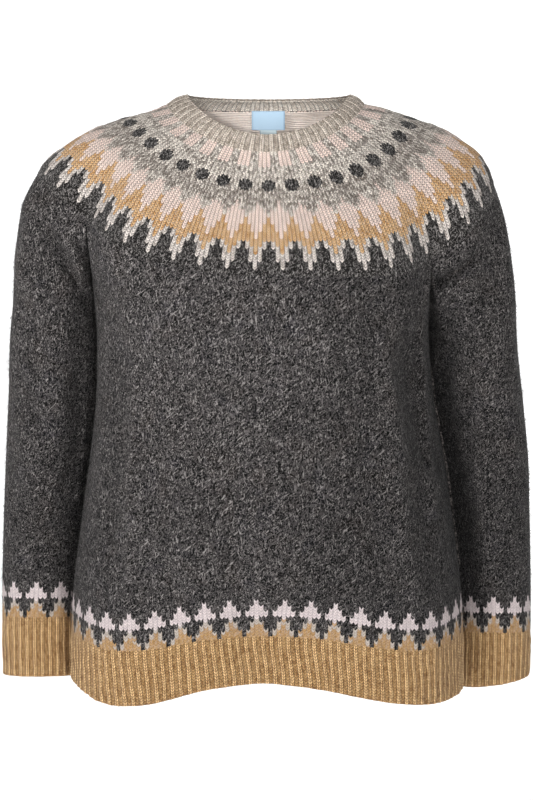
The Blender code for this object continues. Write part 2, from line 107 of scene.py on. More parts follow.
# The neck rib from its seam up to its edge
NECK = table(
    "along right  left   front  back   z_right  z_left   z_front  z_back",
    (0.0, 0.111, 0.109, 0.085, 0.062, 0.0060, 0.0065, -0.056, 0.006),
    (0.5, 0.101, 0.102, 0.080, 0.053, 0.0130, 0.0135, -0.046, 0.013),
    (1.0, 0.0885, 0.093, 0.073, 0.042, 0.0170, 0.0170, -0.036, 0.017),
)

# The torso's sections
TORSO = table(
    "down  middle  half   front  back   square",
    (0.100, -0.006, 0.185, 0.122, 0.108, 2.4),
    (0.180, -0.006, 0.185, 0.131, 0.112, 2.4),
    (0.256, -0.004, 0.184, 0.136, 0.112, 2.4),
    (0.323, -0.0015, 0.1875, 0.134, 0.110, 2.4),
    (0.390, 0.001, 0.197, 0.132, 0.110, 2.4),
    (0.456, 0.001, 0.206, 0.131, 0.113, 2.4),
    (0.545, 0.001, 0.216, 0.129, 0.118, 2.4),
    (0.650, 0.001, 0.217, 0.126, 0.120, 2.4),
)

# The sleeves' sections: how far out they reach on each side, and their own depths round a middle line
SLEEVE = table(
    "down  right   left    middle  front  back   square",
    (0.067, 0.2515, 0.2460, 0.000, 0.062, 0.058, 2.2),
    (0.100, 0.2690, 0.2600, 0.000, 0.064, 0.060, 2.2),
    (0.150, 0.2783, 0.2710, 0.002, 0.065, 0.061, 2.2),
    (0.211, 0.2815, 0.2770, 0.006, 0.065, 0.061, 2.2),
    (0.256, 0.2850, 0.2790, 0.010, 0.064, 0.060, 2.2),
    (0.323, 0.2885, 0.2865, 0.017, 0.061, 0.057, 2.2),
    (0.390, 0.2925, 0.2930, 0.025, 0.058, 0.054, 2.2),
    (0.456, 0.2955, 0.2960, 0.032, 0.054, 0.050, 2.2),
    (0.545, 0.2980, 0.2980, 0.038, 0.048, 0.045, 2.2),
    (0.640, 0.2970, 0.2965, 0.042, 0.044, 0.043, 2.2),
)

# The hem by its angle from the front centre: where the rib starts and where its edge is
HEM = table(
    "angle  rib    edge",
    (-180, 0.582, 0.642),
    (-125, 0.590, 0.650),
    (-90, 0.571, 0.628),
    (-76, 0.578, 0.6325),
    (-60, 0.590, 0.6485),
    (-27, 0.578, 0.630),
    (0, 0.575, 0.625),
    (27, 0.578, 0.631),
    (62, 0.590, 0.6485),
    (77, 0.580, 0.6435),
    (90, 0.573, 0.636),
    (125, 0.590, 0.650),
    (180, 0.582, 0.642),
)

# The largest folds, each a ridge or trough with its ends, its angle at both and its height
BODY_FOLDS = table(
    "top    bottom  angle_top  angle_bottom  spread  height",
    (0.240, 0.760, -60, -62, 13, 0.009),
    (0.200, 0.760, 47, 62, 12, 0.009),
    (0.220, 0.420, 60, 66, 8, -0.007),
    (0.500, 0.760, 0, 0, 30, -0.021),
    (0.260, 0.480, 22, 14, 11, -0.003),
    (0.300, 0.760, 128, 124, 14, 0.009),
    (0.280, 0.760, -131, -126, 14, 0.009),
    (0.300, 0.760, 180, 180, 24, -0.010),
    (0.210, 0.400, 150, 160, 11, 0.004),
)
SLEEVE_FOLDS = table(
    "side  top    bottom  angle_top  angle_bottom  spread  height",
    (-1, 0.105, 0.250, -68, 62, 24, -0.007),
    (-1, 0.150, 0.300, -60, 70, 22, 0.005),
    (-1, 0.330, 0.480, 150, 40, 26, -0.004),
    (1, 0.150, 0.270, 62, -60, 24, -0.008),
    (1, 0.340, 0.470, -150, -40, 26, -0.004),
    (-1, 0.150, 0.290, -120, 140, 24, -0.006),
    (1, 0.140, 0.280, 120, -140, 24, -0.006),
)

# Cuffs by side: where the rib starts, and its edge towards the body and away from it
CUFF = {-1: (0.565, 0.630, 0.630), 1: (0.582, 0.643, 0.631)}


# FORM: the part's functions


def smooth(at, stations, values):
    """The value at some place on a soft curve through a table's values."""
    slopes = np.gradient(values, stations)
    i = np.clip(np.searchsorted(stations, at) - 1, 0, len(stations) - 2)
    span = stations[i + 1] - stations[i]
    t = np.clip((at - stations[i]) / span, 0, 1)
    ends = values[i] * (1 + 2 * t) * (1 - t) ** 2 + values[i + 1] * t**2 * (3 - 2 * t)
    return ends + span * t * (1 - t) * (slopes[i] * (1 - t) - slopes[i + 1] * t)


def ease(t):
    """0 to 1 with soft ends."""
    t = np.clip(t, 0, 1)
    return t * t * (3 - 2 * t)


def unit(vectors):
    return vectors / np.linalg.norm(vectors, axis=-1, keepdims=True)


def crease(along, angle):
    """How deep the cloth is drawn in at the four corners where the sleeves leave the body."""
    grown = ease((along - CREASE_START) / (1 - CREASE_START))
    depth = np.zeros_like(angle)
    for corner in CORNERS:
        depth += np.exp(-(((angle - corner) / CREASE_SPREAD) ** 2))
    return CREASE_DEPTH * grown * depth


def round_points(rounds, along, angle):
    """Points of one round of the yoke or the neck, at angles from the front centre towards +X."""
    size = {name: smooth(along, rounds["along"], rounds[name]) for name in rounds}
    across, ahead = np.sin(angle), np.cos(angle)
    width = np.where(across > 0, size["left"], size["right"])
    depth = np.where(ahead > 0, size["front"], size["back"])
    side = np.where(across > 0, size["z_left"], size["z_right"])
    middle = np.where(ahead > 0, size["z_front"], size["z_back"])
    hang = along if rounds is YOKE else 0.0
    steep = STEEP + np.where(across > 0, 0.0, STEEPER_RIGHT * ease(hang / STEEPER_BY))
    reach = np.abs(ahead)
    shelf_span = np.where(across > 0, SHELF_END_LEFT, SHELF_END_RIGHT) - SHELF_START
    shelf = ease((reach - SHELF_START) / shelf_span) / ease((1 - SHELF_START) / shelf_span)
    fall = (1 - hang) * reach**steep + hang * shelf
    inward = crease(hang, angle)
    outline = np.stack([width * across, -depth * ahead], axis=-1)
    facing = unit(np.stack([depth * across, -width * ahead], axis=-1))
    outline = outline - facing * inward[:, None]
    return np.column_stack([outline, side + (middle - side) * fall])


def wales_of(points, angles):
    """The share of all wales before each of a round's points. At the back centre it is one half."""
    steps = np.linalg.norm(np.diff(points, axis=0), axis=1)
    length = np.concatenate([[0], np.cumsum(steps)])
    half = len(points) // 2
    first = 0.5 * length / length[half]
    second = 0.5 + 0.5 * (length - length[half]) / (length[-1] - length[half])
    even = np.where(np.arange(len(points)) <= half, first, second)
    return EVEN_WALES * even + (1 - EVEN_WALES) * angles / (2 * math.pi)


def round_at(rounds, along, wales):
    """Points of a round at given shares of its wales."""
    angles = np.linspace(0, 2 * math.pi, ROUND_STEPS)
    shares = wales_of(round_points(rounds, along, angles), angles)
    return round_points(rounds, along, np.interp(np.mod(wales, 1), shares, angles))


def corner_wales():
    """The shares of the wales at the four corners: right front, left front, left back, right back."""
    angles = np.linspace(0, 2 * math.pi, ROUND_STEPS)
    last = YOKE["along"][-1]
    shares = wales_of(round_points(YOKE, last, angles), angles)
    found = np.interp(CORNERS, angles, shares)
    return found[3] - 1, *found[:3]


def yoke_columns():
    """Where the yoke's columns lie, so that body and sleeves can share them."""
    right_front, left_front, left_back, right_back = corner_wales()
    arcs = (
        (right_front, left_front, FRONT_FACETS),
        (left_front, left_back, SIDE_FACETS),
        (left_back, right_back, FRONT_FACETS),
        (right_back, right_front + 1, SIDE_FACETS),
    )
    return np.concatenate([np.linspace(a, b, n, endpoint=False) for a, b, n in arcs])


def polar(angle, half, front, back, square):
    """Distance from the middle to a rounded section's edge, at an angle from straight ahead."""
    across, ahead = np.abs(np.sin(angle)), np.abs(np.cos(angle))
    depth = np.where(np.cos(angle) > 0, front, back)
    return ((across / half) ** square + (ahead / depth) ** square) ** (-1 / square)


def turned(angle, centre):
    """The shortest turn from a centre to an angle, both in degrees."""
    return (angle - centre + 180) % 360 - 180


def fold_height(folds, angle, down, chosen=slice(None)):
    """How far the folds push the cloth out at some angle and depth."""
    degrees = np.degrees(angle)
    height = np.zeros_like(down)
    names = "top bottom angle_top angle_bottom spread height".split()
    rows = zip(*(folds[name][chosen] for name in names))
    for top, bottom, angle_top, angle_bottom, spread, rise in rows:
        t = (down - top) / (bottom - top)
        centre = angle_top + turned(angle_bottom, angle_top) * np.clip(t, 0, 1)
        window = ease(t / FADE_IN) * ease((1 - t) / FADE_OUT)
        height = height + rise * window * np.exp(-((turned(degrees, centre) / spread) ** 2))
    return height


def torso_outline(angle, down):
    """A point of the torso's outer face at an angle about its middle."""
    size = {name: smooth(down, TORSO["down"], TORSO[name]) for name in TORSO}
    reach = polar(angle, size["half"], size["front"], size["back"], size["square"])
    reach = reach + fold_height(BODY_FOLDS, angle, down)
    return np.stack([size["middle"] + reach * np.sin(angle), -reach * np.cos(angle)], axis=-1)


def torso_side(side, down, behind=0.0):
    """How far the torso reaches to one side, at a distance behind its widest line."""
    size = {name: smooth(down, TORSO["down"], TORSO[name]) for name in TORSO}
    share = (1 - (behind / size["back"]) ** size["square"]) ** (1 / size["square"])
    return side * size["middle"] + size["half"] * share


def sleeve_middle(side, down):
    """The sleeve's middle line and half width, between the body's side and its own outer edge."""
    outer = smooth(down, SLEEVE["down"], SLEEVE["left" if side > 0 else "right"])
    middle = smooth(down, SLEEVE["down"], SLEEVE["middle"])
    inner = torso_side(side, down, TUCK * np.maximum(middle, 0)) + SLEEVE_CLEARANCE
    return side * (outer + inner) / 2, middle, (outer - inner) / 2


def sleeve_outline(side):
    """The outline function of one sleeve."""
    chosen = SLEEVE_FOLDS["side"] == side

    def outline(angle, down):
        x, y, half = sleeve_middle(side, down)
        size = {name: smooth(down, SLEEVE["down"], SLEEVE[name]) for name in ("front", "back", "square")}
        reach = polar(angle, half, size["front"], size["back"], size["square"])
        away = 0.5 + 0.5 * side * np.sin(angle)
        reach = reach + fold_height(SLEEVE_FOLDS, angle, down, chosen) * away
        return np.stack([x + reach * np.sin(angle), y - reach * np.cos(angle)], axis=-1)

    return outline


def hung(loop, middle, outline, bottom, rows):
    """Rows of a tube that hangs from a loop of points and settles into its own sections."""
    angle = np.arctan2(loop[:, 0] - middle[0], middle[1] - loop[:, 1])
    top, low = -loop[:, 2], bottom(angle)
    shortest = (low - top).min()
    left_to_go = np.linspace(1, 0, rows).reshape(-1, 1)
    height = shortest * left_to_go + (low - top - shortest) * left_to_go**3
    down = low - height
    angles = np.broadcast_to(angle, down.shape)
    offset = loop[:, :2] - outline(angle, top)
    kept = 1 - ease((down - top) / SETTLE)
    flat = outline(angles, down) + offset * kept[..., None]
    return np.concatenate([flat, -down[..., None]], axis=-1)


def underarm(front_corner, back_corner, side):
    """The line under the arm from the front corner to the back one."""
    t = np.linspace(0, 1, UNDERARM_FACETS + 1).reshape(-1, 1)
    line = front_corner + (back_corner - front_corner) * t
    bow = np.sin(math.pi * t[:, 0])
    middle = (front_corner + back_corner) / 2
    line[:, 0] += (side * torso_side(side, ARMPIT[side]) - middle[0]) * bow
    line[:, 2] += (-ARMPIT[side] - middle[2]) * bow
    return line[1:-1]


def normals(grid):
    """Outward directions of a tube with rows that run down and columns anticlockwise from above."""
    return unit(np.cross(np.gradient(grid, axis=0), np.roll(grid, -1, 1) - np.roll(grid, 1, 1)))


# SHELLS


def zipped(first, second):
    """Triangles between two lines of points that run side by side, whatever their counts."""
    faces = []
    i = j = 0
    while i < len(first) - 1 or j < len(second) - 1:
        if (i + 1) / (len(first) - 1) <= (j + 1) / (len(second) - 1):
            faces.append((first[i], first[i + 1], second[j]))
            i += 1
        else:
            faces.append((first[i], second[j + 1], second[j]))
            j += 1
    return faces


def quads(index):
    """Quads of a grid of numbers, facing outward."""
    corners = (index[:-1, :-1], index[1:, :-1], index[1:, 1:], index[:-1, 1:])
    return np.stack(corners, -1).reshape(-1, 4).tolist()


def wrapped(grid, step):
    """A closed grid with its first column again at the end, a whole turn of wales further on."""
    last = grid[:, :1].copy()
    last[..., 0] += step
    return np.concatenate([grid, last], axis=1)


class Cloth:
    """A grid of points with outward directions, places in the knitting and how far it is dented."""

    def __init__(self, grid, facing, knit, turn=None, dent=None):
        self.grid, self.facing, self.knit, self.turn = grid, facing, knit, turn
        self.dent = np.zeros(grid.shape[:2]) if dent is None else dent

    def around(self):
        """The share of all wales that lies before each point of a tube's last row."""
        return (self.knit[-1, :, 0] - self.knit[-1, 0, 0]) / self.turn

    def part(self, columns, turns):
        """Some of the columns, as an open piece."""
        knit = self.knit[:, columns].copy()
        knit[..., 0] += self.turn * turns
        return Cloth(self.grid[:, columns], self.facing[:, columns], knit, None, self.dent[:, columns])


def linked(name, data):
    """A new object in the scene."""
    made = bpy.data.objects.new(name, data)
    bpy.context.scene.collection.objects.link(made)
    return made


def mesh_object(name, points, faces, face_knit, face_slots, materials, dent, flat_from=None):
    """A mesh whose face corners have their places in the knitting. Its last faces may be left flat."""
    mesh = bpy.data.meshes.new(name)
    mesh.from_pydata(points.tolist(), [], faces)
    layer = mesh.uv_layers.new(name="knit")
    layer.uv.foreach_set("vector", np.asarray(face_knit, np.float32).ravel())
    mesh.polygons.foreach_set("material_index", np.asarray(face_slots, np.int32))
    dents = mesh.attributes.new("dent", "FLOAT", "POINT")
    dents.data.foreach_set("value", np.asarray(dent, np.float32).ravel())
    for material in materials:
        mesh.materials.append(material)
    mesh.shade_smooth()
    mesh.update()
    if flat_from is not None:
        edge_of_corner = np.empty(len(mesh.loops), int)
        mesh.loops.foreach_get("edge_index", edge_of_corner)
        sharp = np.zeros(len(mesh.edges), bool)
        sharp[edge_of_corner[mesh.polygons[flat_from].loop_start :]] = True
        mesh.edges.foreach_set("use_edge_sharp", sharp)
    return linked(name, mesh)


def numbered(grid, start=0):
    """The numbers of a grid's points, row by row."""
    return start + np.arange(grid.shape[0] * grid.shape[1]).reshape(grid.shape[:2])


def shell(name, cloth, outside, inside, thick=WALL):
    """A thin closed wall of cloth, whose inner face has every other row."""
    closed = cloth.turn is not None
    inner = (cloth.grid - thick * cloth.facing)[::2]
    knit, inner_knit = cloth.knit, cloth.knit[::2]
    points = np.concatenate([cloth.grid.reshape(-1, 3), inner.reshape(-1, 3)])
    first = numbered(cloth.grid)
    second = numbered(inner, first.size)
    if closed:
        first, second = (np.column_stack([grid, grid[:, 0]]) for grid in (first, second))
        knit, inner_knit = (wrapped(grid, cloth.turn) for grid in (knit, inner_knit))
    corners = numbered(knit)
    inner_corners = numbered(inner_knit, corners.size)
    places = np.concatenate([knit.reshape(-1, 2), inner_knit.reshape(-1, 2)])

    def all_faces(outer_index, inner_index):
        """The outer face, the inner one and the rims, of points or of their places in the knitting."""
        back = [face[::-1] for face in quads(inner_index)]
        outer_rows, inner_rows = outer_index.tolist(), inner_index.tolist()
        rims = zipped(outer_rows[0], inner_rows[0])
        rims += [face[::-1] for face in zipped(outer_rows[-1], inner_rows[-1])]
        if not closed:
            starts = [row[0] for row in outer_rows], [row[0] for row in inner_rows]
            ends = [row[-1] for row in outer_rows], [row[-1] for row in inner_rows]
            rims += [face[::-1] for face in zipped(*starts)] + zipped(*ends)
        return quads(outer_index), back, rims

    front, back, rims = all_faces(first, second)
    slots = [0] * len(front) + [1] * len(back) + [0] * len(rims)
    corner_faces = sum(all_faces(corners, inner_corners), [])
    corner_order = np.concatenate([np.asarray(face) for face in corner_faces])
    faces = front + back + rims
    whole = len(front) + len(back)
    dent = np.concatenate([cloth.dent.ravel(), cloth.dent[::2].ravel()])
    return mesh_object(name, points, faces, places[corner_order], slots, (outside, inside), dent, whole)


def smooth_noise(points, size, seed, waves=14):
    """Soft unevenness of about one unit, from waves of a given size that run every way."""
    dice = np.random.default_rng(seed)
    ways = unit(dice.normal(size=(waves, 3))) / size * dice.uniform(0.6, 1.5, (waves, 1))
    return np.cos(2 * math.pi * (points @ ways.T + dice.random(waves))).sum(-1) / math.sqrt(waves / 2)


# Creases drawn on the front as seen: from, by way of, to, in x and down, with their width and height
CREASES = table(
    "x0      down0   x1      down1   x2      down2  width  height  back",
    (-0.252, 0.130, -0.214, 0.165, -0.184, 0.262, 0.0070, -0.0100, 0),
    (-0.230, 0.135, -0.202, 0.165, -0.184, 0.225, 0.0060, 0.0050, 0),
    (-0.208, 0.140, -0.198, 0.175, -0.181, 0.222, 0.0050, -0.0100, 0),
    (-0.262, 0.190, -0.235, 0.215, -0.200, 0.262, 0.0110, -0.0025, 0),
    (0.180, 0.184, 0.202, 0.172, 0.224, 0.148, 0.0060, 0.0050, 0),
    (0.176, 0.204, 0.202, 0.188, 0.236, 0.162, 0.0060, -0.0120, 0),
    (0.186, 0.215, 0.210, 0.210, 0.240, 0.190, 0.0100, 0.0025, 0),
    (0.256, 0.130, 0.238, 0.200, 0.232, 0.270, 0.0140, -0.0020, 0),
    (-0.280, 0.330, -0.245, 0.345, -0.210, 0.385, 0.0130, -0.0030, 0),
    (-0.205, 0.360, -0.240, 0.380, -0.285, 0.385, 0.0120, 0.0022, 0),
    (0.285, 0.340, 0.250, 0.350, 0.215, 0.395, 0.0130, -0.0028, 0),
    (0.210, 0.420, 0.245, 0.410, 0.290, 0.425, 0.0120, -0.0022, 0),
    (-0.215, 0.470, -0.250, 0.480, -0.290, 0.470, 0.0120, -0.0020, 0),
    (0.215, 0.500, 0.250, 0.520, 0.292, 0.505, 0.0110, -0.0020, 0),
    (-0.143, 0.260, -0.143, 0.400, -0.149, 0.570, 0.0045, 0.0085, 0),
    (-0.160, 0.240, -0.154, 0.380, -0.178, 0.540, 0.0130, -0.0055, 0),
    (0.146, 0.215, 0.154, 0.370, 0.182, 0.560, 0.0130, -0.0060, 0),
    (0.124, 0.225, 0.130, 0.370, 0.164, 0.560, 0.0110, 0.0050, 0),
    (0.169, 0.215, 0.171, 0.340, 0.192, 0.520, 0.0040, 0.0080, 0),
    (0.190, 0.200, 0.198, 0.370, 0.228, 0.570, 0.0200, -0.0210, 0),
    (-0.200, 0.215, -0.206, 0.370, -0.226, 0.560, 0.0130, -0.0110, 0),
    (0.168, 0.190, 0.150, 0.215, 0.118, 0.232, 0.0120, -0.0025, 0),
    (-0.172, 0.200, -0.150, 0.222, -0.120, 0.235, 0.0110, -0.0022, 0),
    (0.252, 0.128, 0.225, 0.160, 0.188, 0.222, 0.0085, -0.0055, 1),
    (0.240, 0.122, 0.212, 0.158, 0.184, 0.205, 0.0070, 0.0035, 1),
    (-0.182, 0.176, -0.204, 0.172, -0.222, 0.152, 0.0075, 0.0050, 1),
    (-0.180, 0.190, -0.206, 0.186, -0.232, 0.160, 0.0080, -0.0050, 1),
    (0.280, 0.330, 0.245, 0.345, 0.210, 0.385, 0.0130, -0.0030, 1),
    (-0.285, 0.340, -0.250, 0.350, -0.215, 0.395, 0.0130, -0.0028, 1),
    (0.110, 0.200, 0.040, 0.235, -0.060, 0.232, 0.0150, -0.0035, 1),
    (-0.110, 0.260, -0.030, 0.290, 0.070, 0.285, 0.0160, -0.0030, 1),
    (0.150, 0.250, 0.158, 0.340, 0.148, 0.430, 0.0160, -0.0035, 1),
    (-0.152, 0.250, -0.160, 0.340, -0.150, 0.430, 0.0160, -0.0035, 1),
)


def crease_height(points, facing):
    """How far the drawn creases raise the cloth. Each swells at its middle and dies away at its ends."""
    height = np.zeros(points.shape[:-1])
    rows = zip(*(CREASES[name] for name in CREASES))
    wobble = 0.18 * smooth_noise(points, 0.03, 5)
    for x0, down0, x1, down1, x2, down2, width, rise, back in rows:
        t = np.linspace(0, 1, 25)[:, None]
        ends = np.array([(x0, -down0), (x1, -down1), (x2, -down2)])
        line = (1 - t) ** 2 * ends[0] + 2 * t * (1 - t) * ends[1] + t**2 * ends[2]
        seen = ease(1.6 * (facing[..., 1] if back else -facing[..., 1]) + 0.4)
        flat = points[..., [0, 2]]
        middle = (line.min(0) + line.max(0)) / 2
        near = (np.abs(flat - middle) < np.ptp(line, axis=0) / 2 + 3.5 * width).all(-1) & (seen > 0)
        gaps = np.linalg.norm(flat[near][:, None] - line, axis=-1)
        nearest = gaps.argmin(1)
        share = t[nearest, 0]
        swell = np.sin(math.pi * np.clip(share, 0.02, 0.98)) ** 0.6
        profile = np.exp(-((gaps.min(1) / (width * (1 + wobble[near]))) ** 2))
        height[near] += rise * swell * profile * seen[near]
    return height


def lived_in(grid, facing, calm):
    """The cloth with its creases and soft unevenness. It is calm at the top and under the arms."""
    height = 0.0017 * smooth_noise(grid * (1, 1, 0.6), 0.080, 11)
    height = height + 0.0006 * smooth_noise(grid, 0.024, 12)
    height = height * (1 - ease(calm(facing))) * ease(np.abs(facing[..., 1]) * 1.5)
    free = ease(np.arange(len(grid)) / PINNED_ROWS)[:, None]
    dent = crease_height(grid, facing) * free
    moved = grid + facing * (height * free)[..., None]
    moved[..., 1] += np.sign(facing[..., 1]) * dent
    return moved, normals(moved), dent


# SHADING


def arithmetic(operation, swapped=False):
    """A method that works out one of a shader's operations on two numbers."""

    def work(self, other):
        return self.shader.calc(operation, *((other, self) if swapped else (self, other)))

    return work


class Field:
    """A number worked out in a shader, which joins in sums as Python's numbers do."""

    __add__, __radd__ = arithmetic("ADD"), arithmetic("ADD", True)
    __sub__, __rsub__ = arithmetic("SUBTRACT"), arithmetic("SUBTRACT", True)
    __mul__, __truediv__, __mod__ = (arithmetic(o) for o in ("MULTIPLY", "DIVIDE", "FLOORED_MODULO"))
    __lt__, __gt__ = arithmetic("LESS_THAN"), arithmetic("GREATER_THAN")

    def __init__(self, shader, socket):
        self.shader, self.socket = shader, socket

    def __abs__(self):
        return self.shader.calc("ABSOLUTE", self)

    def floor(self):
        return self.shader.calc("FLOOR", self)

    def fraction(self):
        return self.shader.calc("FRACT", self)

    def between(self, low, high):
        """0 below the low value, 1 above the high one, soft between."""
        made = self.shader.node("MapRange", {0: self, 1: low, 2: high}, interpolation_type="SMOOTHSTEP")
        return Field(self.shader, made.outputs[0])


class Shader:
    """A material's nodes."""

    def __init__(self, name):
        self.material = bpy.data.materials.new(name)
        self.material.use_nodes = True
        self.tree = self.material.node_tree
        self.surface = self.tree.nodes["Principled BSDF"]

    def node(self, kind, inputs=(), **settings):
        made = self.tree.nodes.new("ShaderNode" + kind)
        for name, value in settings.items():
            setattr(made, name, value)
        for name, value in dict(inputs).items():
            if isinstance(value, Field):
                self.tree.links.new(value.socket, made.inputs[name])
            else:
                made.inputs[name].default_value = value
        return made

    def calc(self, operation, *values):
        made = self.node("Math", enumerate(values), operation=operation)
        return Field(self, made.outputs[0])

    def mix(self, share, first, second):
        """One colour turning into another."""
        first, second = (c if isinstance(c, Field) else (*c, 1) for c in (first, second))
        made = self.node("Mix", {0: share, 6: first, 7: second}, data_type="RGBA")
        return Field(self, made.outputs[2])

    def shade(self, colour, amount):
        """A colour made darker or lighter by a number."""
        made = self.node("VectorMath", {0: colour, "Scale": amount}, operation="SCALE")
        return Field(self, made.outputs[0])

    def knit(self):
        """The wale and the course."""
        split = self.node("SeparateXYZ", {0: Field(self, self.node("UVMap", uv_map="knit").outputs[0])})
        return Field(self, split.outputs[0]), Field(self, split.outputs[1])

    def place(self, turn=(0, 0, 0), size=(1, 1, 1)):
        """Places on the object, turned, and counted in steps of a size along each way."""
        source = Field(self, self.node("TexCoord").outputs["Object"])
        made = self.node("Mapping", {0: source, 2: turn, 3: size}, vector_type="TEXTURE")
        return Field(self, made.outputs[0])

    def join(self, *numbers):
        return Field(self, self.node("CombineXYZ", enumerate(numbers)).outputs[0])

    def random(self, *numbers):
        """A number from 0 to 1 that is a stitch's own."""
        place = self.join(*numbers)
        return Field(self, self.node("TexWhiteNoise", {0: place}, noise_dimensions="3D").outputs[0])

    def dent(self):
        """How far a drawn crease raises the cloth, in metres, from which painted crease shade and light
        are worked out.
        """
        return Field(self, self.node("Attribute", attribute_name="dent").outputs["Fac"])

    def strand(self):
        """A number from 0 to 1 that is a loose fibre's own."""
        return Field(self, self.node("NewGeometry").outputs["Random Per Island"])

    def noise(self, place, scale, detail=2.0, bend=0.0):
        inputs = {"Vector": place, "Scale": scale, "Detail": detail, "Distortion": bend}
        return Field(self, self.node("TexNoise", inputs).outputs[0])

    def grain(self, scale, detail=2.0, bend=0.0):
        """Soft noise fixed to the object, its scale in grains to the metre."""
        return self.noise(self.place(), scale, detail, bend)

    def row_of(self, distance, rows):
        """Up to four numbers chosen by a stitch's distance from the middle of its motif, 0 upwards."""
        made = self.node("ValToRGB", {0: distance / 8 + 0.01})
        ramp = made.color_ramp
        ramp.interpolation = "CONSTANT"
        while len(ramp.elements) < len(rows):
            ramp.elements.new(1)
        for k, values in enumerate(rows):
            ramp.elements[k].position = k / 8
            ramp.elements[k].color = [value / 64 for value in values]
        split = self.node("SeparateColor", {0: Field(self, made.outputs[0])})
        found = [Field(self, socket) for socket in (*split.outputs, made.outputs[1])]
        return [field * 64 for field in found]

    def finish(self, colour, height, roughness=0.9, sheen=0.35, deep=0.0011, relief=0.8):
        """Colour and relief on the surface, with the soft sheen of wool."""
        links, inputs = self.tree.links, self.surface.inputs
        links.new(colour.socket, inputs["Base Color"])
        if height is not None:
            bump = self.node("Bump", {"Strength": relief, "Distance": deep, "Height": height})
            links.new(bump.outputs[0], inputs["Normal"])
        inputs["Roughness"].default_value = roughness
        inputs["Specular IOR Level"].default_value = 0.1
        inputs["Sheen Weight"].default_value = sheen
        inputs["Sheen Roughness"].default_value = 0.5
        return self.material


def linear(*levels):
    """Screen levels of 0 to 255 as light."""
    shares = np.array(levels) / 255
    return tuple(np.where(shares < 0.04045, shares / 12.92, ((shares + 0.055) / 1.055) ** 2.4).tolist())


CHARCOAL, CHARCOAL_WARM, CHARCOAL_COOL = linear(13, 12, 12), linear(20, 16, 13), linear(14, 14, 19)
CHARCOAL_FIBRE, CHARCOAL_LIGHT = linear(124, 118, 118), linear(188, 182, 179)
CHARCOAL_PALE = linear(176, 170, 166)
GREY, GREY_DARK = linear(198, 190, 180), linear(100, 91, 84)
PINK, PINK_SHADE, PALE = linear(204, 184, 174), linear(176, 158, 149), linear(188, 180, 174)
TREE_PALE, TREE_GREY, TREE_LIGHT = linear(190, 178, 178), linear(164, 154, 144), linear(208, 198, 196)
MUSTARD, YOKE_MUSTARD, OCHRE = linear(160, 126, 84), linear(182, 148, 108), linear(158, 114, 64)
OATMEAL, YARN_LIGHT = linear(180, 168, 156), linear(214, 204, 196)
LABEL_BLUE, LABEL_EDGE = linear(176, 202, 222), linear(128, 158, 186)
TAB_BLUE, TAB_EDGE = linear(196, 212, 218), linear(150, 176, 188)

# How far a leg slants, in courses, and the courses where the yoke's blocks and diamonds end
SLANT, BLOCKS_END, DIAMONDS_END = 0.85, 9.5, 19.0


def stitches(u, v):
    """A stocking stitch's wale, course and yarn height, with two legs that meet low in its middle."""
    across = abs(u.fraction() - 0.5) * 2
    course = v - (1 - across) * SLANT
    leg = 1 - abs(across * 2 - 1) * abs(across * 2 - 1)
    round_yarn = abs(course.fraction() * 2 - 1)
    height = (1 - across * across * 0.6) * (leg * 0.3 + 0.7) * (1 - round_yarn * round_yarn * 0.95)
    return u.floor(), course.floor(), height


def from_middle(wale, repeat, shift):
    """How many stitches away the middle of a motif is."""
    place = (wale + shift) % repeat
    return abs(place - repeat // 2)


def wisps(shader, wide, long, low=0.56, high=0.64):
    """Brushed fibres: thin curved streaks that lie every way, mostly down. 0 to 1."""
    found = None
    for tilt in (-0.9, -0.15, 0.7):
        place = shader.place((tilt * 0.7, tilt, tilt), (wide, wide, long))
        streak = shader.noise(place, 1.0, 1.0, 0.9).between(low, high)
        found = streak if found is None else shader.calc("MAXIMUM", found, streak)
    return found


def uneven(shader, u, v, amount):
    """Wales and courses that wander a little, as hand-fed yarn does."""
    drift = shader.grain(60.0, 2.0) - 0.5
    sway = shader.noise(shader.place((0.4, 0.2, 1.1)), 75.0, 2.0) - 0.5
    return u + drift * amount, v + sway * amount * 1.6


def brushed(shader, colour, fibre_colour, height, streaks, soft, stitch_show, fibre_show):
    """Yarn darker between its legs and courses, painted shade where it sinks, with lighter fibres lying
    over it.
    """
    lit = height * stitch_show + (1 - 0.5 * stitch_show)
    base = shader.shade(colour, lit * (soft * 0.9 + 0.55))
    return shader.mix(streaks * fibre_show, base, fibre_colour)


def loose_fibre(shader, colour, pale, share):
    """A loose fibre's colour: its yarn's, with some much paler and some darker."""
    own = shader.strand()
    colour = shader.shade(colour, own * 0.7 + 0.6)
    return shader.mix((own * own * own) * share, colour, pale)


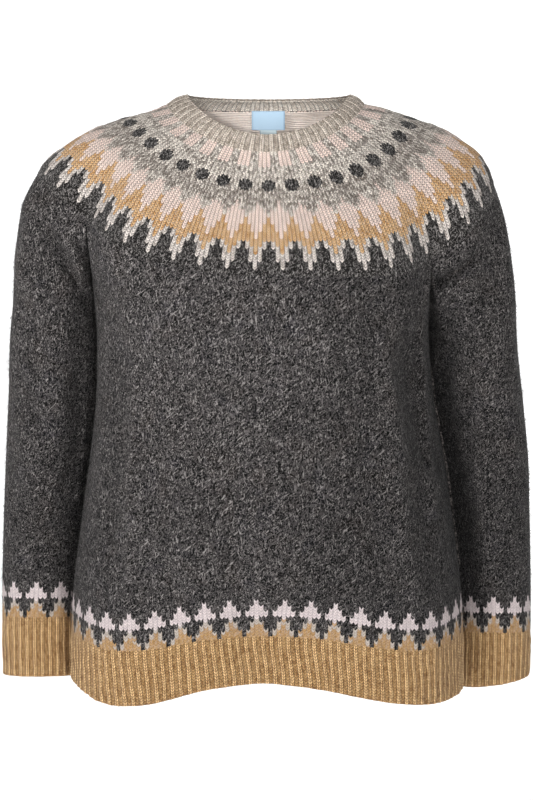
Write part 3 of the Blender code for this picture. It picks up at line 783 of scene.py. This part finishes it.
def charcoal_knit(loose=False):
    """Body and sleeves: charcoal, and trees in rows above the ribs, where the courses end at nought."""
    shader = Shader("charcoal_fibre" if loose else "charcoal_knit")
    u, v = uneven(shader, *shader.knit(), 0.4)
    wale, course, height = stitches(u, v)
    row = course + 14
    start, gap_end, gold_from, _ = shader.row_of(
        from_middle(wale, 6, 3), ((0, 6, 8, 0), (2, 8, 10, 0), (4, 11, 12, 0), (14, 14, 14, 0))
    )
    in_tree = (row > start - 0.5) * (1 - (row > 5.5) * (row < gap_end - 0.5))
    own = shader.random(wale, course)
    tree = shader.mix(row > 6.5, TREE_PALE, TREE_GREY)
    tree = shader.mix(row + own * 2.4 > gold_from + 1.0, tree, MUSTARD)
    tint = shader.grain(34.0, 4.0, 0.5)
    cool = shader.noise(shader.place((1.0, 0.5, 0.3)), 40.0, 3.0, 0.5)
    charcoal = shader.mix(tint.between(0.48, 0.72), CHARCOAL, CHARCOAL_WARM)
    charcoal = shader.mix(cool.between(0.52, 0.75) * 0.8, charcoal, CHARCOAL_COOL)
    spot = shader.node("SeparateXYZ", {0: shader.place()})
    x, z = (Field(shader, spot.outputs[k]) for k in (0, 2))

    # Painted shade, darker at the sides, low down, towards the wearer's left and in the creases, with
    # painted light on the creases' ridges, as in the photo
    low = (0 - z).between(0.14, 0.5)
    painted_shade = (1 - abs(x).between(0.165, 0.215) * 0.15) * (1 - low * 0.2)
    painted_shade = painted_shade * (1 - x.between(-0.02, 0.12) * 0.30 + x.between(0.16, 0.21) * 0.16)
    painted_shade = painted_shade * (1.18 - (0 - shader.dent()).between(-0.012, 0.014) * 0.68)
    if loose:
        # The loose fibres take the same painted shade and light
        dark = shader.shade(loose_fibre(shader, charcoal, CHARCOAL_PALE, 0.7), painted_shade)
        light = loose_fibre(shader, tree, PALE, 0.5)
        return shader.finish(shader.mix(in_tree, dark, light), None, sheen=0.1)
    streaks = wisps(shader, 0.0016, 0.0050, 0.585, 0.625)
    bright = wisps(shader, 0.0013, 0.0060, 0.65, 0.69)
    thick = shader.grain(95.0, 3.0, 0.8).between(0.3, 0.72)
    broad = shader.grain(26.0, 3.0, 0.4).between(0.3, 0.7)
    soft = shader.grain(420.0, 3.0, 0.6)
    show = (thick * 0.4 + 0.6) * (broad * 0.3 + 0.8)
    fibre_colour = shader.mix(0.6, shader.shade(charcoal, 9.0), CHARCOAL_FIBRE)
    dark = brushed(shader, charcoal, fibre_colour, height, streaks * show, soft, 0.9, 0.95)
    # Painted shade and light laid over the whole charcoal
    dark = shader.shade(shader.mix(bright * 0.7, dark, CHARCOAL_LIGHT), painted_shade)
    light = brushed(shader, tree, TREE_LIGHT, height, streaks, soft, 0.7, 0.2)
    colour = shader.mix(in_tree, dark, light)
    return shader.finish(colour, height * 0.5 + streaks * 0.8 + soft * 0.5, sheen=0.05)


def yoke_knit(loose=False):
    """The yoke: blocks, a round of diamonds and the long drops, each with its own count of wales."""
    shader = Shader("yoke_fibre" if loose else "yoke_knit")
    share, along = shader.knit()
    share, v = uneven(shader, share, along, 0.0008)
    low, mid = v > BLOCKS_END, v > DIAMONDS_END
    wales = BLOCK_WALES + low * (DIAMOND_WALES - BLOCK_WALES) + mid * (DROP_WALES - DIAMOND_WALES)
    wale, course, height = stitches(share * wales, v)
    half = (share * wales * 2).floor()
    fleck = shader.noise(shader.join(share * wales * 1.7, v * 0.45), 1.0, 2.0)
    patch = shader.noise(shader.join(share * wales * 0.22, v * 0.3), 1.0, 2.0)
    tone = shader.random(half, course) * 0.4 + fleck * 0.8 + patch * 0.4 - 0.2
    marl = (v * 0.05).between(0.68, 0.95) * 0.12 + (1 - (v * 0.05).between(0.25, 0.5)) * 0.05
    block = (from_middle(wale, 5, 3) < 1.5) * (course < 6.0)
    beside = abs((share * wales + 3) % 6 - 3.5)
    away = abs(course - 14)
    diamond = (beside + (away > 1.5) * 0.75 < 1.8) * (away < 2.5) * low * (1 - mid)
    to_pink, to_gold, to_pale, to_dark = shader.row_of(
        from_middle(wale, 6, 0),
        ((22, 37, 43, 49), (24, 34, 40, 45.5), (25.5, 31, 38, 40.5), (27, 28, 38, 38)),
    )
    grey = shader.mix((tone + marl).between(0.42, 0.88), GREY, GREY_DARK)
    pink = shader.mix(tone.between(0.5, 0.9) * 0.6, PINK, PINK_SHADE)
    colour = shader.mix(block, grey, pink)
    colour = shader.mix(diamond, colour, CHARCOAL)
    colour = shader.mix((course + tone * 6 > to_pink + 3.4) * mid, colour, pink)
    gold = shader.mix(tone.between(0.5, 0.9), YOKE_MUSTARD, OCHRE)
    colour = shader.mix((course > to_gold - 0.5) * mid, colour, gold)
    pale = shader.mix(tone.between(0.5, 0.9) * 0.7, PALE, GREY_DARK)
    colour = shader.mix((course > to_pale - 0.5) * mid, colour, pale)
    past = shader.calc("MAXIMUM", (course > to_dark - 0.5) * mid, diamond)
    charcoal = shader.mix(0.5, CHARCOAL, CHARCOAL_WARM)
    if loose:
        light = loose_fibre(shader, colour, YARN_LIGHT, 0.5)
        dark = loose_fibre(shader, charcoal, CHARCOAL_PALE, 0.9)
        return shader.finish(shader.mix(past, light, dark), None, sheen=0.1)
    streaks = wisps(shader, 0.0012, 0.0040, 0.60, 0.68)
    soft = shader.grain(620.0, 3.0, 0.4)
    light = brushed(shader, colour, YARN_LIGHT, height, streaks, soft, 1.8, 0.3)
    dark = brushed(shader, charcoal, CHARCOAL_LIGHT, height, streaks, soft, 0.3, 0.5)
    relief = height * 1.2 + streaks * 0.4 + soft * 0.4
    return shader.finish(shader.mix(past, light, dark), relief, sheen=0.10)


def rib_knit(name, main, dark_tone, light, loose=False):
    """A ribbed band: bright wales on the ribs and darker ones between them, as painted highlight and
    painted shade.
    """
    shader = Shader(name)
    u, v = uneven(shader, *shader.knit(), 0.22)
    wale, course, height = stitches(u + 0.5, v)
    fleck = shader.noise(shader.join(u * 1.7, v * 0.6), 1.0, 2.0)
    patch = shader.noise(shader.join(u * 0.3, v * 0.12), 1.0, 2.0)
    tone = shader.random((u * 2).floor(), course) * 0.4 + fleck * 0.7 + patch * 0.3 - 0.1
    colour = shader.mix(tone.between(0.4, 0.9), main, dark_tone)
    if loose:
        return shader.finish(loose_fibre(shader, colour, light, 0.6), None, sheen=0.1)
    streaks = wisps(shader, 0.0012, 0.0036, 0.60, 0.68)
    soft = shader.grain(620.0, 3.0, 0.5)
    # Painted highlight: lines of the lightest yarn along the knit wales of each rib, and painted shade
    # between them
    from_crest = abs(((u + 1) % 2) - 1)
    legs = 1 - abs(from_crest - 0.27).between(0.03, 0.24)
    colour = shader.shade(colour, legs * 0.25 + 0.86)
    colour = shader.mix(legs * height * (1.6 - tone * 1.3), colour, light)
    colour = brushed(shader, colour, light, height, streaks, soft, 1.6, 0.3)
    return shader.finish(colour, height + streaks * 0.4 + soft * 0.4, sheen=0.10)


def reverse_knit(name, main, other, show):
    """The inside of a shell: lines of purl bumps, with strands of the other yarns carried behind."""
    shader = Shader(name)
    u, v = shader.knit()
    across = abs(v.fraction() - 0.5) * 2
    height = 1 - across * across
    soft = shader.grain(300.0, 3.0, 0.5)
    streaks = wisps(shader, 0.0012, 0.0036, 0.60, 0.68)
    colour = shader.mix(soft.between(0.45, 0.65) * show, main, other)
    colour = brushed(shader, colour, YARN_LIGHT, height, streaks, soft, 0.6, 0.12)
    return shader.finish(colour, height + soft * 0.5, sheen=0.1)


def woven(name, colour, edge):
    """A woven label: satin with fine lines across, and a darker rim."""
    shader = Shader(name)
    u, v = shader.knit()
    lines = abs((v * 70).fraction() - 0.5) * 2
    threads = abs((u * 110).fraction() - 0.5) * 2
    rim = shader.calc("MAXIMUM", abs(u - 0.5), abs(v - 0.5)).between(0.44, 0.47)
    base = shader.mix(rim * 0.5, colour, edge)
    base = shader.shade(base, lines * 0.06 + threads * 0.05 + 0.93)
    return shader.finish(base, lines + threads * 0.6, 0.45, 0.1, 0.0001, 0.5)


# Each rib's yarn, a darker tone mixed into it at random, and its lightest yarn, which also paints the
# ribs' highlights
MUSTARD_YARN = (MUSTARD, linear(118, 82, 46), linear(216, 184, 138))
OATMEAL_YARN = (OATMEAL, linear(116, 104, 91), linear(206, 196, 184))
# The neck rib's inside: oatmeal made much lighter, painted light for an inside that lies in shade
OATMEAL_LIT_YARN = (linear(236, 226, 214), linear(190, 176, 162), linear(250, 244, 236))
MUSTARD_RIB, OATMEAL_RIB = rib_knit("mustard_rib", *MUSTARD_YARN), rib_knit("oatmeal_rib", *OATMEAL_YARN)
OATMEAL_INSIDE = rib_knit("oatmeal_reverse_painted_light", *OATMEAL_LIT_YARN)
CHARCOAL_INSIDE = reverse_knit("charcoal_reverse", CHARCOAL, linear(96, 90, 88), 0.6)
# The yoke's inside, lighter than any of the yoke's yarns: painted light for an inside that lies in shade
YOKE_INSIDE = reverse_knit("yoke_reverse", linear(250, 236, 226), linear(214, 200, 188), 0.7)


# FIBRES


FIBRE_LIFT, FIBRE_SINK, FIBRE_HALF_WIDTHS = 0.55, 0.0003, (0.00006, 0.00012)


def fuzz(name, cloth, material, count, length, seed):
    """Loose fibres that stand off the cloth, each a thin curved blade coloured as the stitch below."""
    dice = np.random.default_rng(seed)
    grid, facing, knit, dent = cloth.grid, cloth.facing, cloth.knit, cloth.dent[..., None]
    if cloth.turn is not None:
        grid, facing, dent = (np.concatenate([a, a[:, :1]], axis=1) for a in (grid, facing, dent))
        knit = wrapped(knit, cloth.turn)
    spans = np.linalg.norm(np.cross(np.diff(grid, axis=0)[:, :-1], np.diff(grid, axis=1)[:-1]), axis=-1)
    picked = dice.choice(spans.size, count, p=spans.ravel() / spans.sum())
    row, column = np.unravel_index(picked, spans.shape)
    s, t = dice.random((2, count, 1))

    def at(values):
        upper = values[row, column] * (1 - t) + values[row, column + 1] * t
        lower = values[row + 1, column] * (1 - t) + values[row + 1, column + 1] * t
        return upper * (1 - s) + lower * s

    root, out, place = at(grid), unit(at(facing)), at(knit)
    down = unit(grid[row + 1, column] - grid[row, column])
    side = np.cross(out, down)
    heading = dice.normal(0.35, 0.9, (count, 1))
    way = unit(down * np.cos(heading * 1.3) + side * np.sin(heading * 1.3))
    reach = length * np.minimum(dice.gamma(3.0, 0.33, (count, 1)), 2.0)
    rise = FIBRE_LIFT * np.minimum(dice.gamma(1.6, 0.5, (count, 1)), 1.6)
    bend = np.cross(out, way) * dice.normal(0, 0.45, (count, 1))
    middle = root + reach * (0.5 * way + 0.55 * rise * out)
    tip = root + reach * (unit(way + bend) + 0.75 * rise * out)
    wide = np.cross(unit(tip - root), out + 0.5 * dice.normal(size=(count, 3)))
    wide = unit(wide) * dice.uniform(*FIBRE_HALF_WIDTHS, (count, 1))
    root = root - FIBRE_SINK * out
    points = np.stack([root - wide, root + wide, middle + wide, middle - wide, tip], axis=1)
    first = 5 * np.arange(count)[:, None]
    blades = np.concatenate([first + (0, 1, 2, 3)], axis=1)
    tips = first + (3, 2, 4)
    faces = blades.tolist() + tips.tolist()
    corner_knit = np.concatenate([np.repeat(place, 4, axis=0), np.repeat(place, 3, axis=0)])
    dents, slots = np.repeat(at(dent), 5), [0] * len(faces)
    return mesh_object(name, points.reshape(-1, 3), faces, corner_knit, slots, [material], dents)


# PIECES


def own(piece, slot, nodes=()):
    """Hangs a piece on the frame and hides the solids it stands for. Its slot is not used."""
    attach(piece, "root")
    if nodes:
        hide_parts(*nodes)
    return piece


def arc_share(line):
    """How far along a closed line each of its points lies, 0 to 1, from its front centre."""
    loop = np.concatenate([line, line[:1]])
    length = np.concatenate([[0], np.cumsum(np.linalg.norm(np.diff(loop, axis=0), axis=1))])
    return length[:-1] / length[-1]


def ribbed(grid, facing, knit_u, wales):
    """A band read again at even wales, with those wales and how high its ribs rise at them."""
    finer = np.arange(wales // 2 * POINTS_A_RIB) / POINTS_A_RIB * 2
    grid, facing = (respaced(values, knit_u, finer, wales) for values in (grid, facing))
    wave = 0.5 + 0.5 * np.cos(math.pi * finer)
    return grid, unit(facing), finer, RIB_RISE * (wave**1.6 - 0.25)


def banded(cloth, middle, outline, edges):
    """The ribbed band that hangs from a tube's last row to an edge that rolls under."""
    last, knit_u, wales = cloth.grid[-1], cloth.knit[-1, :, 0], cloth.turn
    angle = np.arctan2(last[:, 0] - middle[0], middle[1] - last[:, 1])
    start, end = edges(angle)
    fall = np.linspace(0, 1, BAND_ROWS).reshape(-1, 1)
    down = start * (1 - fall) + end * fall
    flat = outline(np.broadcast_to(angle, down.shape), down)
    grid = np.concatenate([flat, -down[..., None]], axis=-1)
    grid = grid + (last - grid[0]) * (1 - 0.7 * ease(fall))[..., None]
    facing = normals(grid)
    facing[0] = cloth.facing[-1]
    grid, facing, finer, ribs = ribbed(grid, facing, knit_u, wales)
    lean = 0.00035 * smooth_noise(grid, 0.02, 31)
    grid = grid + facing * ((ribs + lean) * ease(fall * 4))[..., None]
    tall = (end - start) / COURSE
    courses = fall * np.interp(finer, np.append(knit_u - knit_u[0], wales), np.append(tall, tall[0]))
    knit = np.stack([np.broadcast_to(finer, courses.shape), courses], axis=-1)
    return rolled_under(Cloth(grid, normals(grid), knit, wales))


def respaced(values, knit_u, finer, wales):
    """A closed grid's values read again at even wales."""
    around = np.append(knit_u - knit_u[0], wales)
    loop = np.concatenate([values, values[:, :1]], axis=1)
    at = np.interp(finer, around, np.arange(len(around)))
    left = np.minimum(at.astype(int), len(around) - 2)
    share = (at - left).reshape(-1, 1)
    return loop[:, left] * (1 - share) + loop[:, left + 1] * share


def rolled_under(cloth, turns=4):
    """The cloth with a rounded edge below its last row."""
    ways = unit(cloth.grid[-1] - cloth.grid[-2])
    grid, facing, knit = [cloth.grid], [cloth.facing], [cloth.knit]
    centre = cloth.grid[-1] - cloth.facing[-1] * WALL / 2
    for turn in np.linspace(0, math.pi / 2, turns + 1)[1:]:
        outward = cloth.facing[-1] * math.cos(turn) + ways * math.sin(turn)
        grid.append((centre + outward * WALL / 2)[None])
        facing.append(outward[None])
        knit.append((cloth.knit[-1] + (0, 0.3 * turn))[None])
    return Cloth(*(np.concatenate(values) for values in (grid, facing, knit)), cloth.turn)


def make_yoke():
    wales = yoke_columns()
    rows = np.linspace(0, YOKE["along"][-1], YOKE_ROWS)
    grid = np.stack([round_at(YOKE, along, wales) for along in rows])
    facing = normals(grid)
    relief = 0.0007 * smooth_noise(grid, 0.06, 21) + 0.0003 * smooth_noise(grid, 0.018, 22)
    still = ease(rows / 0.1) * ease((rows[-1] - rows) / 0.1)
    grid = grid + facing * (relief * still[:, None])[..., None]
    facing = normals(grid)
    across, down = np.broadcast_arrays(wales, rows[:, None] * YOKE_COURSES)
    return Cloth(grid, facing, np.stack([across, down], axis=-1), 1.0)


def make_neck(yoke):
    """The neck rib from its edge down to the yoke, rolled at the edge."""
    wales = yoke_columns()
    rows = np.linspace(1, 0, BAND_ROWS)
    grid = np.stack([round_at(NECK, along, wales) for along in rows])
    grid[-1] = yoke.grid[0]
    facing = normals(grid)
    facing[-1] = yoke.facing[0]
    grid, facing, finer, ribs = ribbed(grid, facing, wales * NECK_WALES, NECK_WALES)
    grown = ease((1 - np.abs(rows * 2 - 1)) * 4)[:, None] * 0.5 + 0.5
    grid = grid + facing * (0.8 * ribs * grown)[..., None]
    across, down = np.broadcast_arrays(finer, (1 - rows[:, None]) * NECK_COURSES)
    flipped = Cloth(grid[::-1], facing[::-1], np.stack([across, down], axis=-1)[::-1], NECK_WALES)
    rolled = rolled_under(flipped)
    grid, facing, knit = (values[::-1] for values in (rolled.grid, rolled.facing, rolled.knit))
    return Cloth(grid, normals(grid), knit, NECK_WALES)


def body_loop(yoke, arms):
    """The body's top edge: front of the yoke, under the left arm, back of it, under the right arm."""
    last = yoke.grid[-1]
    left_front, left_back = FRONT_FACETS, FRONT_FACETS + SIDE_FACETS
    right_back = left_back + FRONT_FACETS
    front, back = last[: left_front + 1], last[left_back : right_back + 1]
    return np.concatenate([front, arms[1], back, arms[-1][::-1]])


def sleeve_loop(yoke, arms, side):
    """A sleeve's top edge: over the shoulder on the yoke, then back under the arm."""
    last = np.concatenate([yoke.grid[-1], yoke.grid[-1][:1]])
    if side > 0:
        return np.concatenate([last[FRONT_FACETS : FRONT_FACETS + SIDE_FACETS + 1], arms[1][::-1]])
    return np.concatenate([last[2 * FRONT_FACETS + SIDE_FACETS :], arms[-1]])


def hung_cloth(loop, middle, outline, bottom, rows, wales, first_wale, calm):
    """A tube hung from a loop. Its wales are even along its last row, and its courses end there."""
    grid = hung(loop, middle, outline, bottom, rows)
    low = -grid[-1, :, 2]
    grid, facing, dent = lived_in(grid, normals(grid), calm)
    u = first_wale(arc_share(grid[-1]))
    v = (-grid[..., 2] - low) / COURSE
    return Cloth(grid, facing, np.stack([np.broadcast_to(u, v.shape), v], axis=-1), wales, dent)


def make_body(yoke, arms):
    loop = body_loop(yoke, arms)
    middle = (TORSO["middle"][1], 0.0)

    def edges(angle):
        return [smooth(np.degrees(angle), HEM["angle"], HEM[name]) for name in ("rib", "edge")]

    def bottom(angle):
        return edges(angle)[0]

    def first_wale(share):
        return (share - share[FRONT_FACETS // 2]) * BODY_WALES + TREE_SHIFT

    def calm(facing):
        return (np.abs(facing[..., 0]) - 0.55) / 0.3

    body = hung_cloth(loop, middle, torso_outline, bottom, BODY_ROWS, BODY_WALES, first_wale, calm)
    return body, banded(body, middle, torso_outline, edges)


def make_sleeve(yoke, arms, side):
    loop = sleeve_loop(yoke, arms, side)
    outline = sleeve_outline(side)
    x, y, _ = sleeve_middle(side, ARM_MIDDLE_DOWN)
    rib, inner_edge, outer_edge = CUFF[side]

    def edges(angle):
        outward = (0.5 + 0.5 * side * np.sin(angle)) ** 2
        return np.full_like(angle, rib), inner_edge + (outer_edge - inner_edge) * outward

    def bottom(angle):
        return edges(angle)[0]

    def first_wale(share):
        return share * SLEEVE_WALES + CUFF_TREE_SHIFT[side]

    def calm(facing):
        return (-side * facing[..., 0] - 0.2) / 0.4

    sleeve = hung_cloth(loop, (x, y), outline, bottom, SLEEVE_ROWS, SLEEVE_WALES, first_wale, calm)
    return sleeve, banded(sleeve, sleeve_middle(side, rib), outline, edges)


def split(cloth, part_at):
    """Front and back halves of a closed tube, parted at two shares of its wales."""
    count = cloth.grid.shape[1]
    left, right = (int(np.argmin(np.abs(cloth.around() - share))) for share in part_at)
    front = np.arange(right, count + left + 1)
    back = np.arange(left, right + 1)
    return cloth.part(front % count, front // count), cloth.part(back, back * 0)


yoke = make_yoke()
edge_ring = yoke.grid[-1]
arm_lines = {
    1: underarm(edge_ring[FRONT_FACETS], edge_ring[FRONT_FACETS + SIDE_FACETS], 1),
    -1: underarm(edge_ring[0], edge_ring[2 * FRONT_FACETS + SIDE_FACETS], -1),
}
body, hem = make_body(yoke, arm_lines)
right_sleeve, right_cuff = make_sleeve(yoke, arm_lines, -1)
left_sleeve, left_cuff = make_sleeve(yoke, arm_lines, 1)
neck = make_neck(yoke)
under_arms = body.around()[[FRONT_FACETS + UNDERARM_FACETS // 2, -(UNDERARM_FACETS // 2)]]
front_body, back_body = split(body, under_arms)
front_hem, back_hem = split(hem, under_arms)

# Each finish's faces, outside and inside, its loose fibres and their length
YARNS = {
    "charcoal": (charcoal_knit(), CHARCOAL_INSIDE, charcoal_knit(loose=True), 0.0046),
    "yoke_colours": (yoke_knit(), YOKE_INSIDE, yoke_knit(loose=True), 0.0032),
    "mustard": (MUSTARD_RIB, MUSTARD_RIB, rib_knit("mustard_fibre", *MUSTARD_YARN, True), 0.0026),
    "oatmeal": (OATMEAL_RIB, OATMEAL_INSIDE, rib_knit("oatmeal_fibre", *OATMEAL_YARN, True), 0.0024),
}

# Each shell with the solid it stands for, its finish, its cloth's flat size and its count of fibres
PIECES = (
    ("front_body", front_body, "charcoal", (0.56, 0.42), 26000),
    ("back_body", back_body, "charcoal", (0.56, 0.46), 22000),
    ("sleeve_right", right_sleeve, "charcoal", (0.33, 0.48), 17000),
    ("sleeve_left", left_sleeve, "charcoal", (0.33, 0.48), 17000),
    ("yoke", yoke, "yoke_colours", (1.20, 0.17), 12000),
    ("hem_rib_front", front_hem, "mustard", (0.57, 0.055), 2600),
    ("hem_rib_back", back_hem, "mustard", (0.57, 0.058), 2000),
    ("cuff_right", right_cuff, "mustard", (0.27, 0.065), 1500),
    ("cuff_left", left_cuff, "mustard", (0.27, 0.055), 1500),
    ("neck_rib", neck, "oatmeal", (0.56, 0.030), 1500),
)
for seed, (node_name, cloth, slot_name, flat_size, count) in enumerate(PIECES, 100):
    outside, inside, loose, length = YARNS[slot_name]
    piece = own(shell(f"{node_name}_cloth", cloth, outside, inside), slot_name, [node_name])
    own(fuzz(f"{node_name}_fibres", cloth, loose, count, length, seed), slot_name)

TAG_THICK, TAG_BOW, TAG_EDGE, TAG_BACK = 0.0005, 0.0015, 0.0002, 0.0006
TAG_TILT, TAG_LIFT = math.radians(24), 0.0022
TAG_ROWS, TAG_COLUMNS = 9, 13


def make_tag(node_name, finish, slot_name):
    """A woven tag just above its solid's place, gently bowed, with its own weave."""
    low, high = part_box(node_name)
    s, t = np.meshgrid(np.linspace(0, 1, TAG_COLUMNS), np.linspace(0, 1, TAG_ROWS))
    fall = t * (high[2] - low[2] - 2 * TAG_EDGE)
    x = (low[0] + high[0]) / 2 + (s - 0.5) * (high[0] - low[0])
    bow = TAG_BOW * np.cos((s - 0.5) * math.pi)
    y = low[1] + TAG_BACK - TAG_LIFT + fall * math.tan(TAG_TILT) + bow
    z = high[2] - TAG_EDGE - fall + TAG_LIFT
    grid = np.stack([x, y, z], axis=-1)
    facing = -np.broadcast_to(np.array([0.0, math.cos(TAG_TILT), math.sin(TAG_TILT)]), grid.shape)
    cloth = Cloth(grid, facing, np.stack([s, t], axis=-1))
    return own(shell(f"{node_name}_cloth", cloth, finish, finish, TAG_THICK), slot_name, [node_name])


label = make_tag("label", woven("label_weave", LABEL_BLUE, LABEL_EDGE), "label")
size_tab = make_tag("size_tab", woven("tab_weave", TAB_BLUE, TAB_EDGE), "tab")


# STUDIO


def make_backdrop():
    """A pale floor that sweeps up behind."""
    profile = [(FLOOR_NEAR, FLOOR_DOWN), (FLOOR_FAR, FLOOR_DOWN)]
    bend = np.linspace(0, math.pi / 2, 13)[1:]
    profile += [(FLOOR_FAR + math.sin(a), FLOOR_DOWN - 1 + math.cos(a)) for a in bend]
    profile += [(FLOOR_FAR + 1, -BACKDROP_TALL)]
    line = np.array([(0.0, y, -down) for y, down in profile])
    points = np.concatenate([line + (-BACKDROP_HALF, 0, 0), line + (BACKDROP_HALF, 0, 0)])
    count = len(line)
    faces = [(k, k + count, k + count + 1, k + 1) for k in range(count - 1)]
    mesh = bpy.data.meshes.new("floor")
    mesh.from_pydata(points.tolist(), [], faces)
    mesh.shade_smooth()
    shader = Shader("floor_paper")
    shader.surface.inputs["Base Color"].default_value = (0.9, 0.9, 0.9, 1)
    shader.surface.inputs["Roughness"].default_value = 1.0
    shader.surface.inputs["Emission Color"].default_value = (1, 1, 1, 1)
    shader.surface.inputs["Emission Strength"].default_value = FLOOR_GLOW
    mesh.materials.append(shader.material)
    linked("floor", mesh)


def make_light(name, place, target, size, power, cone=None):
    """A round soft light, or with a cone a spot that reaches into the neck."""
    lamp = bpy.data.lights.new(name, "SPOT" if cone else "AREA")
    if cone:
        lamp.spot_size, lamp.spot_blend, lamp.shadow_soft_size = cone, 1.0, size / 2
    else:
        lamp.shape, lamp.size = "DISK", size
    lamp.energy = power
    held = linked(name, lamp)
    held.location = place
    x, y, z = np.array(target) - np.array(place)
    held.rotation_euler = (math.atan2(math.hypot(x, y), -z), 0, math.atan2(-x, y))


# The floor's depth, its near and far ends, and the backdrop's height above it and half width
FLOOR_DOWN, FLOOR_NEAR, FLOOR_FAR, BACKDROP_TALL, BACKDROP_HALF = 0.90, -6.0, 2.2, 5.0, 7
FLOOR_GLOW, WORLD_GLOW = 0.46, 0.18
CHEST, CHEST_LEFT, NECK_BACK = (0, 0, -0.3), (0.1, 0, -0.4), (0, 0.05, 0.016)
make_backdrop()
make_light("key", (-1.9, -2.7, 1.0), CHEST, size=0.9, power=87)
make_light("front", (0.8, -3.3, -0.5), CHEST_LEFT, size=1.0, power=46)
make_light("top", (0.0, -0.9, 2.3), CHEST, size=1.6, power=12)
make_light("neck", (-0.15, -3.0, -0.38), NECK_BACK, size=0.15, power=280, cone=math.radians(3.3))
make_light("rim", (0.8, 2.4, 1.2), CHEST, size=1.6, power=10)

scene = bpy.context.scene
scene.world = scene.world or bpy.data.worlds.new("studio")
scene.world.use_nodes = True
background = scene.world.node_tree.nodes["Background"]
background.inputs["Color"].default_value = (1, 1, 1, 1)
background.inputs["Strength"].default_value = WORLD_GLOW
scene.view_settings.view_transform = "Standard"

# The camera stands level, straight ahead, at the height of the picture's middle
CAMERA_AWAY, CAMERA_DOWN, PICTURE_TALL, SENSOR = 2.6, 0.323, 0.8904, 36.0
camera_data = bpy.data.cameras.new("camera")
camera_data.sensor_fit = "VERTICAL"
camera_data.sensor_height = SENSOR
camera_data.lens = SENSOR * CAMERA_AWAY / PICTURE_TALL
camera = linked("camera", camera_data)
camera.location = (0, -CAMERA_AWAY, -CAMERA_DOWN)
camera.rotation_euler = (math.pi / 2, 0, 0)
scene.camera = camera
